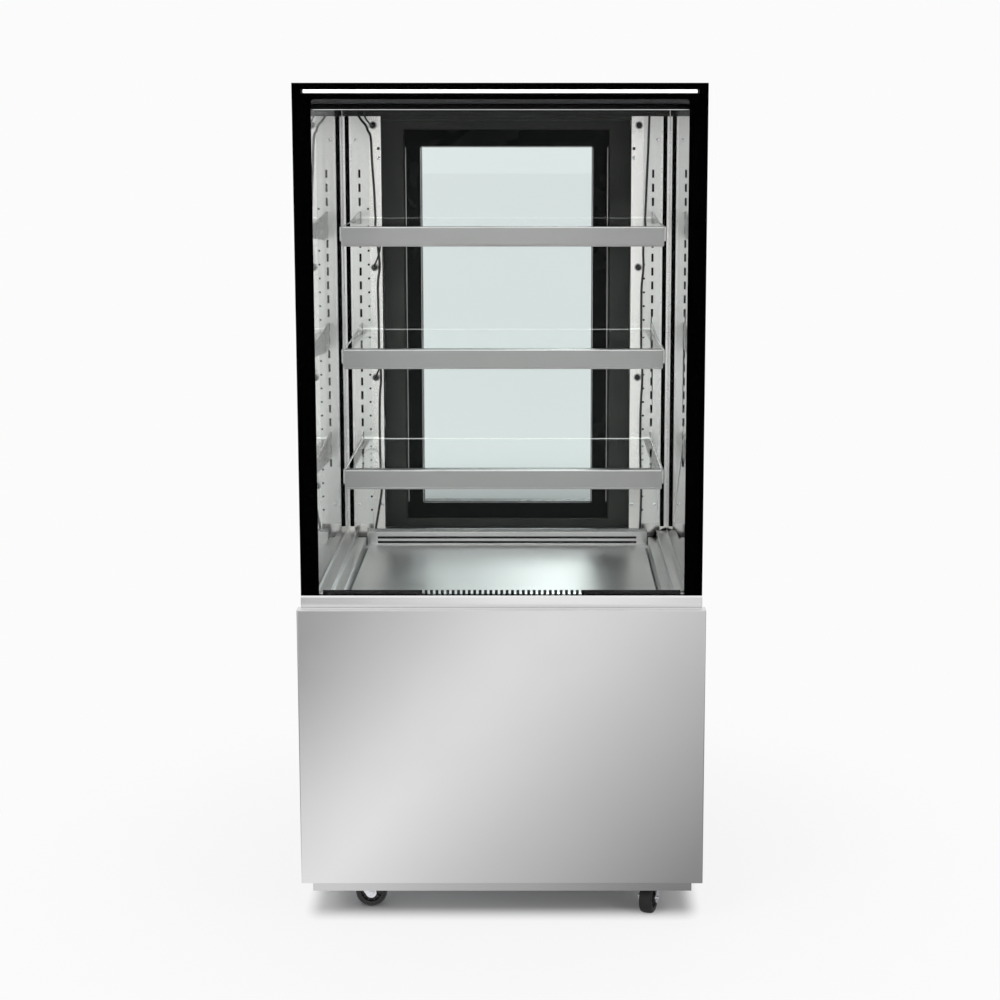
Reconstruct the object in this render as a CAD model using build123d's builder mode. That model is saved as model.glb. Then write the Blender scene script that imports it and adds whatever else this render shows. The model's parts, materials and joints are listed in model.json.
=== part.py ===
from build123d import *
import math
import os

# Cake display case: a refrigerated cabinet with straight glass on a stainless base, on four casters.
# Millimetres. The origin is on the floor under the middle of the case, the front faces -Y, +Z is up.

# Overall sizes
width = 660
depth = 680
height = 1375
sheet = 1.5
fit = 0.3

# Casters
wheel_radius = 27
wheel_width = 22
caster_trail = 32
caster_height = 68
caster_plate = 3
pivot_inset_side = 70
pivot_inset_front = 73
pivot_inset_rear = 67
kingpin_radius = 4
axle_radius = 4
running_fit = 0.05
fork_sheet = 2.5
fork_gap = 1.5
crown_top = caster_height - caster_plate - 5.5
fork_headings = {"front_left": 0, "front_right": -108, "rear_left": 70, "rear_right": 115}

# Base
panel_overhang = 5
panel_proud = 22
gasket_depth = 10
door_thickness = 38
handle_proud = 20
case_width = width - 2 * panel_overhang
case_depth = depth - panel_proud - gasket_depth - door_thickness - handle_proud
skirt_bottom = 57
tray_top = 76
tray_sheet = 2
skirt_width = case_width - 24
sill_bottom = 538
tub_top = 520
tub_bottom = 355
glass_line = 557
tray_slots = 9
case_front = panel_proud - depth / 2
case_rear = case_front + case_depth
case_middle = (case_front + case_rear) / 2
half_case = case_width / 2
half_base = half_case - sheet
pivot_x = half_case - pivot_inset_side
pivot_front = case_front + pivot_inset_front
pivot_rear = case_rear - pivot_inset_rear

# Well and deck
tub_wall = 55
tub_floor = 20
tub_half = half_base - 2
cavity_half = half_case - 57
deck_half = cavity_half - 6
deck_sheet = 2
deck_hole = 5
deck_hole_pitch = 8.8
deck_hole_y = case_front + 155
deck_hole_count = int((2 * deck_half - 31) / deck_hole_pitch)
ledge_height = 33
ledge_depth = 22
ledge_slots = 2
ledge_slot_pitch = 9
ledge_slot_height = 4

# Glazing
pane = 6
inner_pane = 4
unit_thickness = 22
border_side = 29
border_top = 25
border_radius = 6
ink = 0.4
light_line_half = half_case - 14
light_line_top = height - 9
light_line_height = 8
ceiling = height - 32
glass_seat = 12

# Rear frame and door
post_depth = 42
post_front = case_rear - post_depth
post_inner = half_case - 93
post_width = 91
standard_inner = post_inner + 22.5
standard_width = 36
standard_depth = 20
opening_bottom = 548
opening_top = ceiling - 21
door_half = half_case - 63
door_bottom = 507
door_top = height - 16
gasket_width = 12
gasket_outer = door_half - 14
door_stile = 69
door_rail = 55
door_glass_half = door_half - door_stile
door_glass_bottom = door_bottom + door_rail
door_glass_top = door_top - door_rail
door_border = 32.5
hinge_inset = 12
hinge_pin_radius = 4
hinge_pin_length = 15
hinge_plate = 4
handle_length = 180
handle_bar = 14
handle_z = (door_bottom + door_top) / 2 - 13
handle_inset = 34

# Shelves
slot_pitch = 25.9
slot_height = 15
slot_width = 4
shelf_count = 3
lowest_shelf = glass_line + 170.6
hook_rise = -4
hook_slots_below = 2
shelf_setback = 198
shelf_front = case_front + shelf_setback
rail_height = 33
rail_depth = 16
rail_lip = 0.8
rail_lip_height = 3
shelf_glass = 6
bracket_sheet = 3
bracket_x = half_case - 52.5
rail_half = bracket_x - 3
bracket_flange = 14
bracket_rear_rise = 12
bracket_rear_drop = 38
lead_radius = 1.5
socket_x = half_case - 79
socket_radius = 7
plug_radius = 5
plug_length = 16
socket_drop = 92
canopy_socket = ceiling - 31

# Cooling unit
fin_pitch = 10
fin_thickness = 2
coil_tube = 4.5
compressor_radius = 72
compressor_height = 170
compressor_at = (135 - half_case, 30)
condenser_x = (half_case - 335, half_case - 55)
condenser_z = (90, 320)
condenser_depth = 44
fan_radius = 92
fan_axis = (half_case - 195, 205)
fan_tip_gap = 4
evaporator_x = (-190, 190)
evaporator_z = (385, 465)
evaporator_y = (-20, 60)
evaporator_fan_radius = 55
louvre_rows = 10
louvre_length = half_case - 95
louvre_pitch = 26
louvre_depth = 7
louvre_opening = 11

first_slot = lowest_shelf + hook_rise - hook_slots_below * slot_pitch
slot_count = int((ceiling - 100 - first_slot) / slot_pitch)
steps_between_shelves = round((ceiling - lowest_shelf) / (shelf_count * slot_pitch))
shelf_tops = [lowest_shelf + n * steps_between_shelves * slot_pitch for n in range(shelf_count)]
os.makedirs("parts", exist_ok=True)


def write(piece, name):
    piece.part.label = name
    export_step(piece.part, f"parts/{name}.step")


def flat(x, y, z):
    """A level plane whose origin is at the given point."""
    return Plane(origin=(x, y, z))


def upright_x(x):
    """A plane across X: its first direction is +Y and its second +Z."""
    return Plane.YZ.offset(x)


def upright_y(y):
    """A plane across Y, facing the rear, whose first direction is -X and second +Z."""
    return Plane(origin=(0, y, 0), x_dir=(-1, 0, 0), z_dir=(0, 1, 0))


# Base tray: a folded floor with a skirt, and two hat channels that take the casters
skirt_depth = case_depth
channel_width = 84
channel_half = skirt_width / 2 - tray_sheet
floor_bottom = tray_top - tray_sheet
with BuildPart() as base_tray:
    with BuildSketch(flat(0, case_middle, floor_bottom)):
        Rectangle(skirt_width, skirt_depth)
    extrude(amount=tray_sheet)
    with BuildSketch(flat(0, case_middle, skirt_bottom)):
        Rectangle(skirt_width, skirt_depth)
        offset(amount=-tray_sheet, kind=Kind.INTERSECTION, mode=Mode.SUBTRACT)
    extrude(amount=floor_bottom - skirt_bottom)
    for channel_y in (pivot_front, pivot_rear):
        with BuildSketch(upright_x(-channel_half)):
            with Locations((channel_y, (caster_height + floor_bottom) / 2)):
                Rectangle(channel_width, floor_bottom - caster_height)
                Rectangle(
                    channel_width - 2 * tray_sheet,
                    floor_bottom - caster_height - tray_sheet,
                    align=(Align.CENTER, Align.CENTER),
                    mode=Mode.SUBTRACT,
                )
        extrude(amount=2 * channel_half)
    with BuildSketch(flat(fan_axis[0], 0, floor_bottom)):
        with GridLocations(0, 18, 1, tray_slots):
            SlotOverall(200, 8)
    extrude(amount=tray_sheet, mode=Mode.SUBTRACT)
write(base_tray, "base_tray")

# Plinth strip: a folded channel across the front of the tray
plinth_proud = 6
with BuildPart() as plinth_strip:
    with BuildSketch(upright_x(-skirt_width / 2)):
        with BuildLine():
            Polyline(
                (case_front, skirt_bottom),
                (case_front - plinth_proud, skirt_bottom),
                (case_front - plinth_proud, tray_top),
                (case_front, tray_top),
                (case_front, tray_top - sheet),
                (case_front - plinth_proud + sheet, tray_top - sheet),
                (case_front - plinth_proud + sheet, skirt_bottom + sheet),
                (case_front, skirt_bottom + sheet),
                close=True,
            )
        make_face()
    extrude(amount=skirt_width)
write(plinth_strip, "plinth_strip")


# Base sides: folded sheets with flanges at the front, the rear and the bottom
side_flange = 20


def base_side(hand):
    with BuildPart() as side:
        with BuildSketch(flat(0, 0, tray_top)):
            with BuildLine():
                Polyline(
                    (hand * (half_case - side_flange), case_front),
                    (hand * half_case, case_front),
                    (hand * half_case, case_rear),
                    (hand * (half_case - side_flange), case_rear),
                    (hand * (half_case - side_flange), case_rear - sheet),
                    (hand * (half_case - sheet), case_rear - sheet),
                    (hand * (half_case - sheet), case_front + sheet),
                    (hand * (half_case - side_flange), case_front + sheet),
                    close=True,
                )
            make_face()
        extrude(amount=tub_top - fit - tray_top)
        with BuildSketch(flat(hand * (half_case - sheet / 2), case_middle, tray_top)):
            Rectangle(sheet, case_depth)
        extrude(amount=sill_bottom - tray_top)
        with BuildSketch(flat(hand * (half_case - side_flange / 2), case_middle, tray_top)):
            Rectangle(side_flange, case_depth)
        extrude(amount=sheet)
    return side


base_side_left = base_side(-1)
base_side_right = base_side(1)
write(base_side_left, "base_side_left")
write(base_side_right, "base_side_right")

# Front panel: a full width pan, open at the back, with return flanges
panel_height = sill_bottom - tray_top
panel_middle = (sill_bottom + tray_top) / 2
return_flange = 14
panel_edge_radius = 2
with BuildPart() as front_panel:
    with BuildSketch(Plane(origin=(0, case_front, panel_middle), x_dir=(1, 0, 0), z_dir=(0, -1, 0))):
        Rectangle(width, panel_height)
    extrude(amount=panel_proud)
    fillet(front_panel.edges().group_by(Axis.Y)[0], radius=panel_edge_radius)
    with BuildSketch(Plane(origin=(0, case_front - sheet, panel_middle), x_dir=(1, 0, 0), z_dir=(0, -1, 0))):
        Rectangle(width - 2 * sheet, panel_height - 2 * sheet)
    extrude(amount=panel_proud - 2 * sheet, mode=Mode.SUBTRACT)
    with BuildSketch(Plane(origin=(0, case_front, panel_middle), x_dir=(1, 0, 0), z_dir=(0, -1, 0))):
        Rectangle(width - 2 * return_flange, panel_height - 2 * return_flange)
    extrude(amount=sheet, mode=Mode.SUBTRACT)
write(front_panel, "front_panel")

# Insulated well under the deck: a foamed tub whose rim carries the deck
tub_front = case_front + sheet
tub_rear = post_front - 2
rim_depth = 22
rim_half = half_case - side_flange - fit
cavity_front = tub_front + tub_wall
cavity_rear = post_front - ledge_depth
with BuildPart() as well_tub:
    with BuildSketch(flat(0, (tub_front + tub_rear) / 2, tub_bottom)):
        Rectangle(2 * tub_half, tub_rear - tub_front)
    extrude(amount=tub_top - tub_bottom)
    with BuildSketch(flat(0, (tub_rear + case_rear - sheet) / 2, tub_top)):
        Rectangle(2 * tub_half, case_rear - sheet - tub_rear)
    extrude(amount=-rim_depth)
    with BuildSketch(flat(0, case_rear - sheet / 2, tub_top)):
        Rectangle(2 * rim_half, sheet)
    extrude(amount=-rim_depth)
    with BuildSketch(flat(0, (cavity_front + cavity_rear) / 2, tub_bottom + tub_floor)):
        RectangleRounded(2 * cavity_half, cavity_rear - cavity_front, 12)
    extrude(amount=tub_top - tub_bottom - tub_floor, mode=Mode.SUBTRACT)
write(well_tub, "well_tub")

# Deck plate: lies on the front and rear rims of the well, with a row of air holes near its front
deck_front = case_front + sheet + 50
deck_rear = post_front - ledge_depth + 14
deck_lip = 12
with BuildPart() as deck_plate:
    with BuildSketch(flat(0, (deck_front + deck_rear) / 2, tub_top)):
        Rectangle(2 * deck_half, deck_rear - deck_front)
    extrude(amount=deck_sheet)
    for hand in (-1, 1):
        with BuildSketch(flat(hand * (deck_half - sheet / 2), (cavity_front + cavity_rear) / 2, tub_top)):
            Rectangle(sheet, cavity_rear - cavity_front - 2 * deck_lip)
        extrude(amount=-deck_lip)
    with BuildSketch(flat(0, deck_hole_y, tub_top)):
        with GridLocations(deck_hole_pitch, 0, deck_hole_count, 1):
            RegularPolygon(deck_hole / 2, 6)
    extrude(amount=deck_sheet, mode=Mode.SUBTRACT)
write(deck_plate, "deck_plate")

# Rear air ledge: a low box behind the deck with level bars that the cold air leaves through
ledge_half = cavity_half - 2
ledge_front = post_front - ledge_depth + 14 + fit
ledge_bottom = tub_top
with BuildPart() as rear_air_ledge:
    with BuildSketch(upright_x(-ledge_half)):
        with BuildLine():
            Polyline(
                (ledge_front, ledge_bottom),
                (ledge_front, ledge_bottom + ledge_height - 6),
                (ledge_front + 5, ledge_bottom + ledge_height),
                (post_front, ledge_bottom + ledge_height),
                (post_front, ledge_bottom + ledge_height - sheet),
                (ledge_front + sheet + 4, ledge_bottom + ledge_height - sheet),
                (ledge_front + sheet, ledge_bottom + ledge_height - 7),
                (ledge_front + sheet, ledge_bottom),
                close=True,
            )
        make_face()
    extrude(amount=2 * ledge_half)
    with BuildSketch(Plane(origin=(0, ledge_front, ledge_bottom + 12), x_dir=(1, 0, 0), z_dir=(0, -1, 0))):
        with GridLocations(0, ledge_slot_pitch, 1, ledge_slots):
            Rectangle(2 * ledge_half - 40, ledge_slot_height)
    extrude(amount=-sheet, mode=Mode.SUBTRACT)
write(rear_air_ledge, "rear_air_ledge")

# Sills: the front one is a profile with the channel that the glass stands in
sill_proud = 3
sill_rear = case_front + 50
with BuildPart() as sill_front:
    with BuildSketch(upright_x(-half_case)):
        with BuildLine():
            Polyline(
                (case_front - sill_proud, sill_bottom),
                (case_front - sill_proud, glass_line - 3),
                (case_front - sill_proud + 1.5, glass_line),
                (case_front - fit, glass_line),
                (case_front - fit, glass_line - glass_seat),
                (case_front + unit_thickness + fit, glass_line - glass_seat),
                (case_front + unit_thickness + fit, glass_line - 4),
                (sill_rear - 14, glass_line - 4),
                (sill_rear - 14, sill_bottom + 2),
                (sill_rear, sill_bottom + 2),
                (sill_rear, tub_top),
                (case_front + sheet + fit, tub_top),
                (case_front + sheet + fit, sill_bottom),
                close=True,
            )
        make_face()
        with Locations((case_front + unit_thickness / 2 + 4, (tub_top + glass_line - glass_seat) / 2)):
            Rectangle(unit_thickness, glass_line - glass_seat - tub_top - 2 * sheet - 2, mode=Mode.SUBTRACT)
    extrude(amount=case_width)
    for hand in (-1, 1):
        with BuildSketch(flat(hand * (half_case - sheet / 2), (case_front + sill_rear) / 2, tub_top)):
            Rectangle(sheet + 2 * fit, sill_rear - case_front + 20)
        extrude(amount=sill_bottom - tub_top, mode=Mode.SUBTRACT)
write(sill_front, "sill_front")

# Side sills: stepped liners that rise from the deck to the side glass
step = 16
with BuildPart() as side_sills:
    for hand in (-1, 1):
        with BuildSketch(Plane(origin=(0, sill_rear, 0), x_dir=(-1, 0, 0), z_dir=(0, 1, 0))):
            with BuildLine():
                Polyline(
                    (hand * cavity_half, tub_top),
                    (hand * cavity_half, tub_top + step),
                    (hand * (cavity_half + step), tub_top + step),
                    (hand * (cavity_half + step), glass_line - step / 2),
                    (hand * (half_case - unit_thickness), glass_line - step / 2),
                    (hand * (half_case - unit_thickness), glass_line),
                    (hand * half_case, glass_line),
                    (hand * half_case, sill_bottom),
                    (hand * (half_base - fit), sill_bottom),
                    (hand * (half_base - fit), tub_top),
                    close=True,
                )
            make_face()
            offset(amount=-sheet, kind=Kind.INTERSECTION, mode=Mode.SUBTRACT)
        extrude(amount=post_front - sill_rear)
write(side_sills, "side_sills")

# Glass: double panes at the front and at both sides
seat_z = glass_line - glass_seat
inner_face = half_case - unit_thickness
spacer_outer = half_case - pane
spacer_inner = inner_face + inner_pane
with BuildPart() as front_glass:
    with BuildSketch(flat(0, case_front + pane / 2, seat_z)):
        Rectangle(case_width, pane)
    extrude(amount=height - seat_z)
    with BuildSketch(flat(0, case_front + unit_thickness - inner_pane / 2, seat_z)):
        Rectangle(2 * (inner_face - fit), inner_pane)
    extrude(amount=ceiling - seat_z)
write(front_glass, "front_glass")


def side_glass(hand):
    with BuildPart() as unit:
        with BuildSketch(flat(0, 0, glass_line)):
            outer_front = case_front + pane + ink
            with Locations((hand * (half_case - pane / 2), (outer_front + post_front) / 2)):
                Rectangle(pane, post_front - outer_front)
        extrude(amount=height - glass_line)
        inner_front = case_front + unit_thickness - inner_pane
        with BuildSketch(flat(0, 0, glass_line)):
            with Locations((hand * (inner_face + inner_pane / 2), (inner_front + post_front) / 2)):
                Rectangle(inner_pane, post_front - inner_front)
        extrude(amount=ceiling - glass_line)
    return unit


side_glass_left = side_glass(-1)
side_glass_right = side_glass(1)
write(side_glass_left, "side_glass_left")
write(side_glass_right, "side_glass_right")

# Black edging of the glass: the printed band behind the front pane, the spacer bars and the seals on the posts
spacer_y = case_front + pane + ink
spacer_run = unit_thickness - inner_pane - pane - ink
spacer_mid = (spacer_outer + spacer_inner) / 2
standard_outer = standard_inner + standard_width
edge_seal = 1.5
edge_seal_width = 7.5
edge_seal_mid = standard_outer + fit + edge_seal_width / 2
with BuildPart() as glass_border:
    with BuildSketch(Plane(origin=(0, case_front + pane, 0), x_dir=(-1, 0, 0), z_dir=(0, 1, 0))):
        with Locations((0, (seat_z + height) / 2)):
            Rectangle(case_width, height - seat_z)
        window_top = height - border_top
        with Locations((0, (seat_z + window_top) / 2)):
            Rectangle(case_width - 2 * border_side, window_top - seat_z, mode=Mode.SUBTRACT)
        with Locations((0, light_line_top - light_line_height / 2)):
            Rectangle(2 * light_line_half, light_line_height, mode=Mode.SUBTRACT)
    extrude(amount=ink)
    window_corners = glass_border.edges().filter_by(Axis.Y).filter_by(
        lambda edge: abs(edge.center().Z - window_top) < 0.01 and abs(edge.center().X) < half_case - 1
    )
    fillet(window_corners, radius=border_radius)
    for hand in (-1, 1):
        with BuildSketch(flat(hand * spacer_mid, spacer_y + spacer_run / 2, glass_line)):
            Rectangle(spacer_outer - spacer_inner, spacer_run)
        extrude(amount=ceiling - glass_line)
        with BuildSketch(flat(hand * spacer_mid, post_front - 6, glass_line)):
            Rectangle(spacer_outer - spacer_inner, 12)
        extrude(amount=ceiling - glass_line)
        with BuildSketch(flat(hand * spacer_mid, (spacer_y + spacer_run + post_front - 12) / 2, glass_line)):
            Rectangle(spacer_outer - spacer_inner, post_front - 12 - spacer_y - spacer_run)
        extrude(amount=8)
        with BuildSketch(flat(hand * edge_seal_mid, post_front - edge_seal / 2, glass_line)):
            Rectangle(edge_seal_width, edge_seal)
        extrude(amount=ceiling - glass_line)
    with BuildSketch(flat(0, spacer_y + spacer_run / 2, seat_z)):
        Rectangle(2 * (inner_face - fit), spacer_run)
    extrude(amount=glass_seat - 2)
write(glass_border, "glass_border")


# Corner posts: folded columns with a recess for the slotted standard
def corner_post(hand):
    with BuildPart() as post:
        with BuildSketch(flat(0, 0, sill_bottom)):
            with BuildLine():
                Polyline(
                    (hand * post_inner, post_front),
                    (hand * standard_inner, post_front),
                    (hand * standard_inner, post_front + standard_depth),
                    (hand * (standard_inner + standard_width), post_front + standard_depth),
                    (hand * (standard_inner + standard_width), post_front),
                    (hand * (post_inner + post_width), post_front),
                    (hand * (post_inner + post_width), case_rear),
                    (hand * post_inner, case_rear),
                    close=True,
                )
            make_face()
            offset(amount=-sheet, kind=Kind.INTERSECTION, mode=Mode.SUBTRACT)
        extrude(amount=ceiling - sill_bottom)
    return post


corner_post_left = corner_post(-1)
corner_post_right = corner_post(1)
write(corner_post_left, "corner_post_left")
write(corner_post_right, "corner_post_right")

# Shelf standards: channels with a column of slots that the shelf brackets hook into
standard_bottom = glass_line + 5
with BuildPart() as shelf_standards:
    for hand in (-1, 1):
        with BuildSketch(flat(hand * (standard_inner + standard_width / 2), post_front, standard_bottom)):
            with Locations((0, standard_depth / 2)):
                Rectangle(standard_width, standard_depth)
            with Locations((0, standard_depth / 2 + sheet / 2)):
                Rectangle(standard_width - 2 * sheet, standard_depth - sheet, mode=Mode.SUBTRACT)
        extrude(amount=ceiling - standard_bottom)
        slots_middle = first_slot + slot_height / 2 + (slot_count - 1) * slot_pitch / 2
        with BuildSketch(Plane(origin=(hand * bracket_x, post_front, slots_middle), z_dir=(0, 1, 0), x_dir=(-1, 0, 0))):
            with GridLocations(0, slot_pitch, 1, slot_count):
                Rectangle(slot_width, slot_height)
        extrude(amount=sheet, mode=Mode.SUBTRACT)
write(shelf_standards, "shelf_standards")

# Door surround: the threshold and the header between the corner posts
surround_half = post_inner
with BuildPart() as door_surround:
    with BuildSketch(Plane(origin=(0, post_front, 0), x_dir=(-1, 0, 0), z_dir=(0, 1, 0))):
        with BuildLine():
            Polyline(
                (-half_base + fit, tub_top),
                (half_base - fit, tub_top),
                (half_base - fit, sill_bottom),
                (surround_half, sill_bottom),
                (surround_half, opening_bottom),
                (-surround_half, opening_bottom),
                (-surround_half, sill_bottom),
                (-half_base + fit, sill_bottom),
                close=True,
            )
        make_face()
        with Locations((0, (opening_top + ceiling) / 2)):
            Rectangle(2 * surround_half, ceiling - opening_top)
    extrude(amount=case_rear - post_front)
write(door_surround, "door_surround")

# Top panel: an insulated lid with a groove for the light line
top_half = spacer_outer - fit
top_front = spacer_y
groove_height = light_line_height + 4
groove_depth = 10
light_line_middle = light_line_top - light_line_height / 2
with BuildPart() as top_panel:
    with BuildSketch(flat(0, (top_front + case_rear) / 2, ceiling)):
        Rectangle(2 * top_half, case_rear - top_front)
    extrude(amount=height - ceiling)
    with BuildSketch(Plane(origin=(0, top_front, light_line_middle), x_dir=(-1, 0, 0), z_dir=(0, 1, 0))):
        Rectangle(2 * light_line_half, groove_height)
    extrude(amount=groove_depth, mode=Mode.SUBTRACT)
write(top_panel, "top_panel")

# Canopy light: the diffuser of the light line, and the profile under the front of the ceiling
canopy_depth = 24
canopy_height = 10
canopy_front = case_front + unit_thickness
canopy_half = inner_face - 3
with BuildPart() as canopy_light:
    with BuildSketch(Plane(origin=(0, top_front, light_line_middle), x_dir=(-1, 0, 0), z_dir=(0, 1, 0))):
        Rectangle(2 * light_line_half, light_line_height)
    extrude(amount=groove_depth)
    with BuildSketch(upright_x(-canopy_half)):
        with BuildLine():
            Polyline(
                (canopy_front, ceiling),
                (canopy_front, ceiling - canopy_height),
                (canopy_front + 4, ceiling - canopy_height),
                (canopy_front + canopy_depth, ceiling - 3),
                (canopy_front + canopy_depth, ceiling),
                close=True,
            )
        make_face()
    extrude(amount=2 * canopy_half)
write(canopy_light, "canopy_light")

# Shelves: glass on a pair of hooked brackets, behind a deep light rail
glass_rest = shelf_glass
ledge_run = 14
rail_rear = shelf_front + rail_depth
plate_inner = bracket_x - bracket_sheet / 2
shelf_rear = post_front - 8


def shelf_rail(top):
    with BuildPart() as rail:
        with BuildSketch(upright_x(-rail_half)):
            with BuildLine():
                Polyline(
                    (shelf_front, top),
                    (rail_rear, top),
                    (rail_rear, top - glass_rest),
                    (rail_rear + ledge_run, top - glass_rest),
                    (rail_rear + ledge_run, top - glass_rest - 2),
                    (rail_rear, top - glass_rest - 2),
                    (rail_rear, top - 18),
                    (shelf_front + 6, top - rail_height),
                    (shelf_front - rail_lip, top - rail_height),
                    (shelf_front - rail_lip, top - rail_height + rail_lip_height - rail_lip),
                    (shelf_front, top - rail_height + rail_lip_height),
                    close=True,
                )
            make_face()
            with Locations((shelf_front + rail_depth / 2, top - 10)):
                Rectangle(rail_depth - 2 * sheet, 16, mode=Mode.SUBTRACT)
        extrude(amount=2 * rail_half)
        level_edges = rail.edges().filter_by(Axis.X)
        front_edges = level_edges.filter_by(lambda edge: abs(edge.center().Y - shelf_front) < 0.01)
        fillet(front_edges.group_by(Axis.Z)[-1], radius=1)
        for hand in (-1, 1):
            cap_start = rail_half if hand > 0 else -plate_inner
            with BuildSketch(upright_x(cap_start)):
                with BuildLine():
                    Polyline(
                        (shelf_front + 1, top - 1),
                        (rail_rear, top - 1),
                        (rail_rear, top - 18),
                        (shelf_front + 6, top - rail_height + 1),
                        (shelf_front + 1, top - rail_height + 1),
                        close=True,
                    )
                make_face()
            extrude(amount=plate_inner - rail_half)
    return rail


def shelf_pane(top):
    with BuildPart() as glass:
        with BuildSketch(flat(0, (rail_rear + shelf_rear) / 2, top - shelf_glass)):
            Rectangle(2 * (plate_inner - fit), shelf_rear - rail_rear - fit)
        extrude(amount=shelf_glass)
    return glass


for number, top in enumerate(reversed(shelf_tops), start=1):
    write(shelf_rail(top), f"shelf_rail_{number}")
    write(shelf_pane(top), f"shelf_glass_{number}")

hook_neck = slot_height - 3
hook_drop = 5
hook_front = post_front + sheet + 0.2
hook_rear = hook_front + 3
bracket_front = shelf_front + 2
bracket_rear = post_front - fit
with BuildPart() as shelf_brackets:
    for top in shelf_tops:
        upper = top + hook_rise
        lower = upper - slot_pitch
        for hand in (-1, 1):
            plate_start = hand * bracket_x - bracket_sheet / 2
            with BuildSketch(upright_x(plate_start)):
                with BuildLine():
                    Polyline(
                        (bracket_front, top - 24),
                        (bracket_front, top),
                        (bracket_front + 150, top),
                        (bracket_rear, top + bracket_rear_rise),
                        (bracket_rear, upper + hook_neck),
                        (hook_rear, upper + hook_neck),
                        (hook_rear, upper - hook_drop),
                        (hook_front, upper - hook_drop),
                        (hook_front, upper),
                        (bracket_rear, upper),
                        (bracket_rear, lower + hook_neck),
                        (hook_rear, lower + hook_neck),
                        (hook_rear, lower - hook_drop),
                        (hook_front, lower - hook_drop),
                        (hook_front, lower),
                        (bracket_rear, lower),
                        (bracket_rear, top - bracket_rear_drop),
                        (bracket_rear - 60, top - bracket_rear_drop),
                        (bracket_front + 80, top - 24),
                        close=True,
                    )
                make_face()
            extrude(amount=bracket_sheet)
            flange_x = hand * (plate_inner - bracket_flange / 2)
            flange_front = rail_rear + ledge_run + 1
            with BuildSketch(flat(flange_x, (flange_front + shelf_rear) / 2, top - shelf_glass - 2)):
                Rectangle(bracket_flange, shelf_rear - flange_front)
            extrude(amount=2)
write(shelf_brackets, "shelf_brackets")

# Fittings on the posts: light sockets with their plugs on the left, blank covers on the right
socket_levels = [top - socket_drop for top in shelf_tops] + [canopy_socket]
socket_ring = 3
with BuildPart() as post_fittings:
    for level in socket_levels:
        with BuildSketch(Plane(origin=(-socket_x, post_front, level), x_dir=(1, 0, 0), z_dir=(0, -1, 0))):
            Circle(socket_radius)
        extrude(amount=socket_ring)
        with BuildSketch(Plane(origin=(-socket_x, post_front - socket_ring, level), x_dir=(1, 0, 0), z_dir=(0, -1, 0))):
            Circle(plug_radius)
        extrude(amount=plug_length - socket_ring)
        with BuildSketch(Plane(origin=(socket_x, post_front, level), x_dir=(1, 0, 0), z_dir=(0, -1, 0))):
            Circle(socket_radius)
        extrude(amount=socket_ring, taper=20)
write(post_fittings, "post_fittings")

# Light leads: from under the rear of each shelf into the socket below it, and from the ceiling
lead_x = -(plate_inner - 8)
lead_end = post_front - plug_length


def lead_radii(points):
    radii = []
    for before, at, after in zip(points, points[1:], points[2:]):
        arriving = Vector(*at) - Vector(*before)
        leaving = Vector(*after) - Vector(*at)
        turn = math.radians(arriving.get_angle(leaving))
        shorter = min(arriving.length, leaving.length)
        radii.append(0.45 * shorter / math.tan(turn / 2))
    return radii


def lead(points):
    with BuildPart() as wire:
        with BuildLine() as route:
            FilletPolyline(*points, radius=lead_radii(points))
        path = route.wire()
        with BuildSketch(Plane(origin=path @ 0, z_dir=path % 0)):
            Circle(lead_radius)
        sweep(path=path)
    print("lead length", round(path.length, 1), "radii", [round(r, 1) for r in lead_radii(points)])
    return wire


lead_parts = []
for top in shelf_tops:
    level = top - socket_drop
    lead_z = top - shelf_glass - 2 - lead_radius - fit
    lead_points = [
        (lead_x, rail_rear + 1, lead_z),
        (lead_x, lead_end - 120, lead_z),
        (4 - socket_x, lead_end - 62, lead_z),
        (16 - socket_x, lead_end - 26, lead_z - 34),
        (11 - socket_x, lead_end - 22, level + 24),
        (-socket_x, lead_end - 22, level),
        (-socket_x, lead_end, level),
    ]
    lead_parts.append(lead(lead_points))
canopy_points = [
    (-socket_x - 12, lead_end - 38, ceiling),
    (-socket_x - 12, lead_end - 38, ceiling - 16),
    (-socket_x, lead_end - 24, canopy_socket),
    (-socket_x, lead_end, canopy_socket),
]
lead_parts.append(lead(canopy_points))
with BuildPart() as light_leads:
    for wire in lead_parts:
        add(wire.part)
write(light_leads, "light_leads")

# Door: a charcoal profile frame, two panes behind a wide black border, a gasket and a handle
door_front = case_rear + gasket_depth
door_rear = door_front + door_thickness
door_middle = (door_bottom + door_top) / 2
hinge_x = -(door_half - hinge_inset)
hinge_y = (door_front + door_rear) / 2
with BuildPart() as door_frame:
    with BuildSketch(Plane(origin=(0, door_front, 0), x_dir=(-1, 0, 0), z_dir=(0, 1, 0))):
        with Locations((0, door_middle)):
            RectangleRounded(2 * door_half, door_top - door_bottom, 4)
        with Locations((0, (door_glass_bottom + door_glass_top) / 2)):
            Rectangle(2 * door_glass_half, door_glass_top - door_glass_bottom, mode=Mode.SUBTRACT)
    extrude(amount=door_thickness)
    chamfer(
        door_frame.edges().group_by(Axis.Y)[0].filter_by(
            lambda e: abs(e.center().X) < door_glass_half + 1 and door_glass_bottom - 1 < e.center().Z < door_glass_top + 1
        ),
        length=2,
    )
    with Locations(Location((hinge_x, hinge_y, door_top))):
        Hole(radius=hinge_pin_radius + running_fit, depth=hinge_pin_length + 1)
    with Locations(Location((hinge_x, hinge_y, door_bottom), (180, 0, 0))):
        Hole(radius=hinge_pin_radius + running_fit, depth=hinge_pin_length + 1)
write(door_frame, "door_frame")

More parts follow.
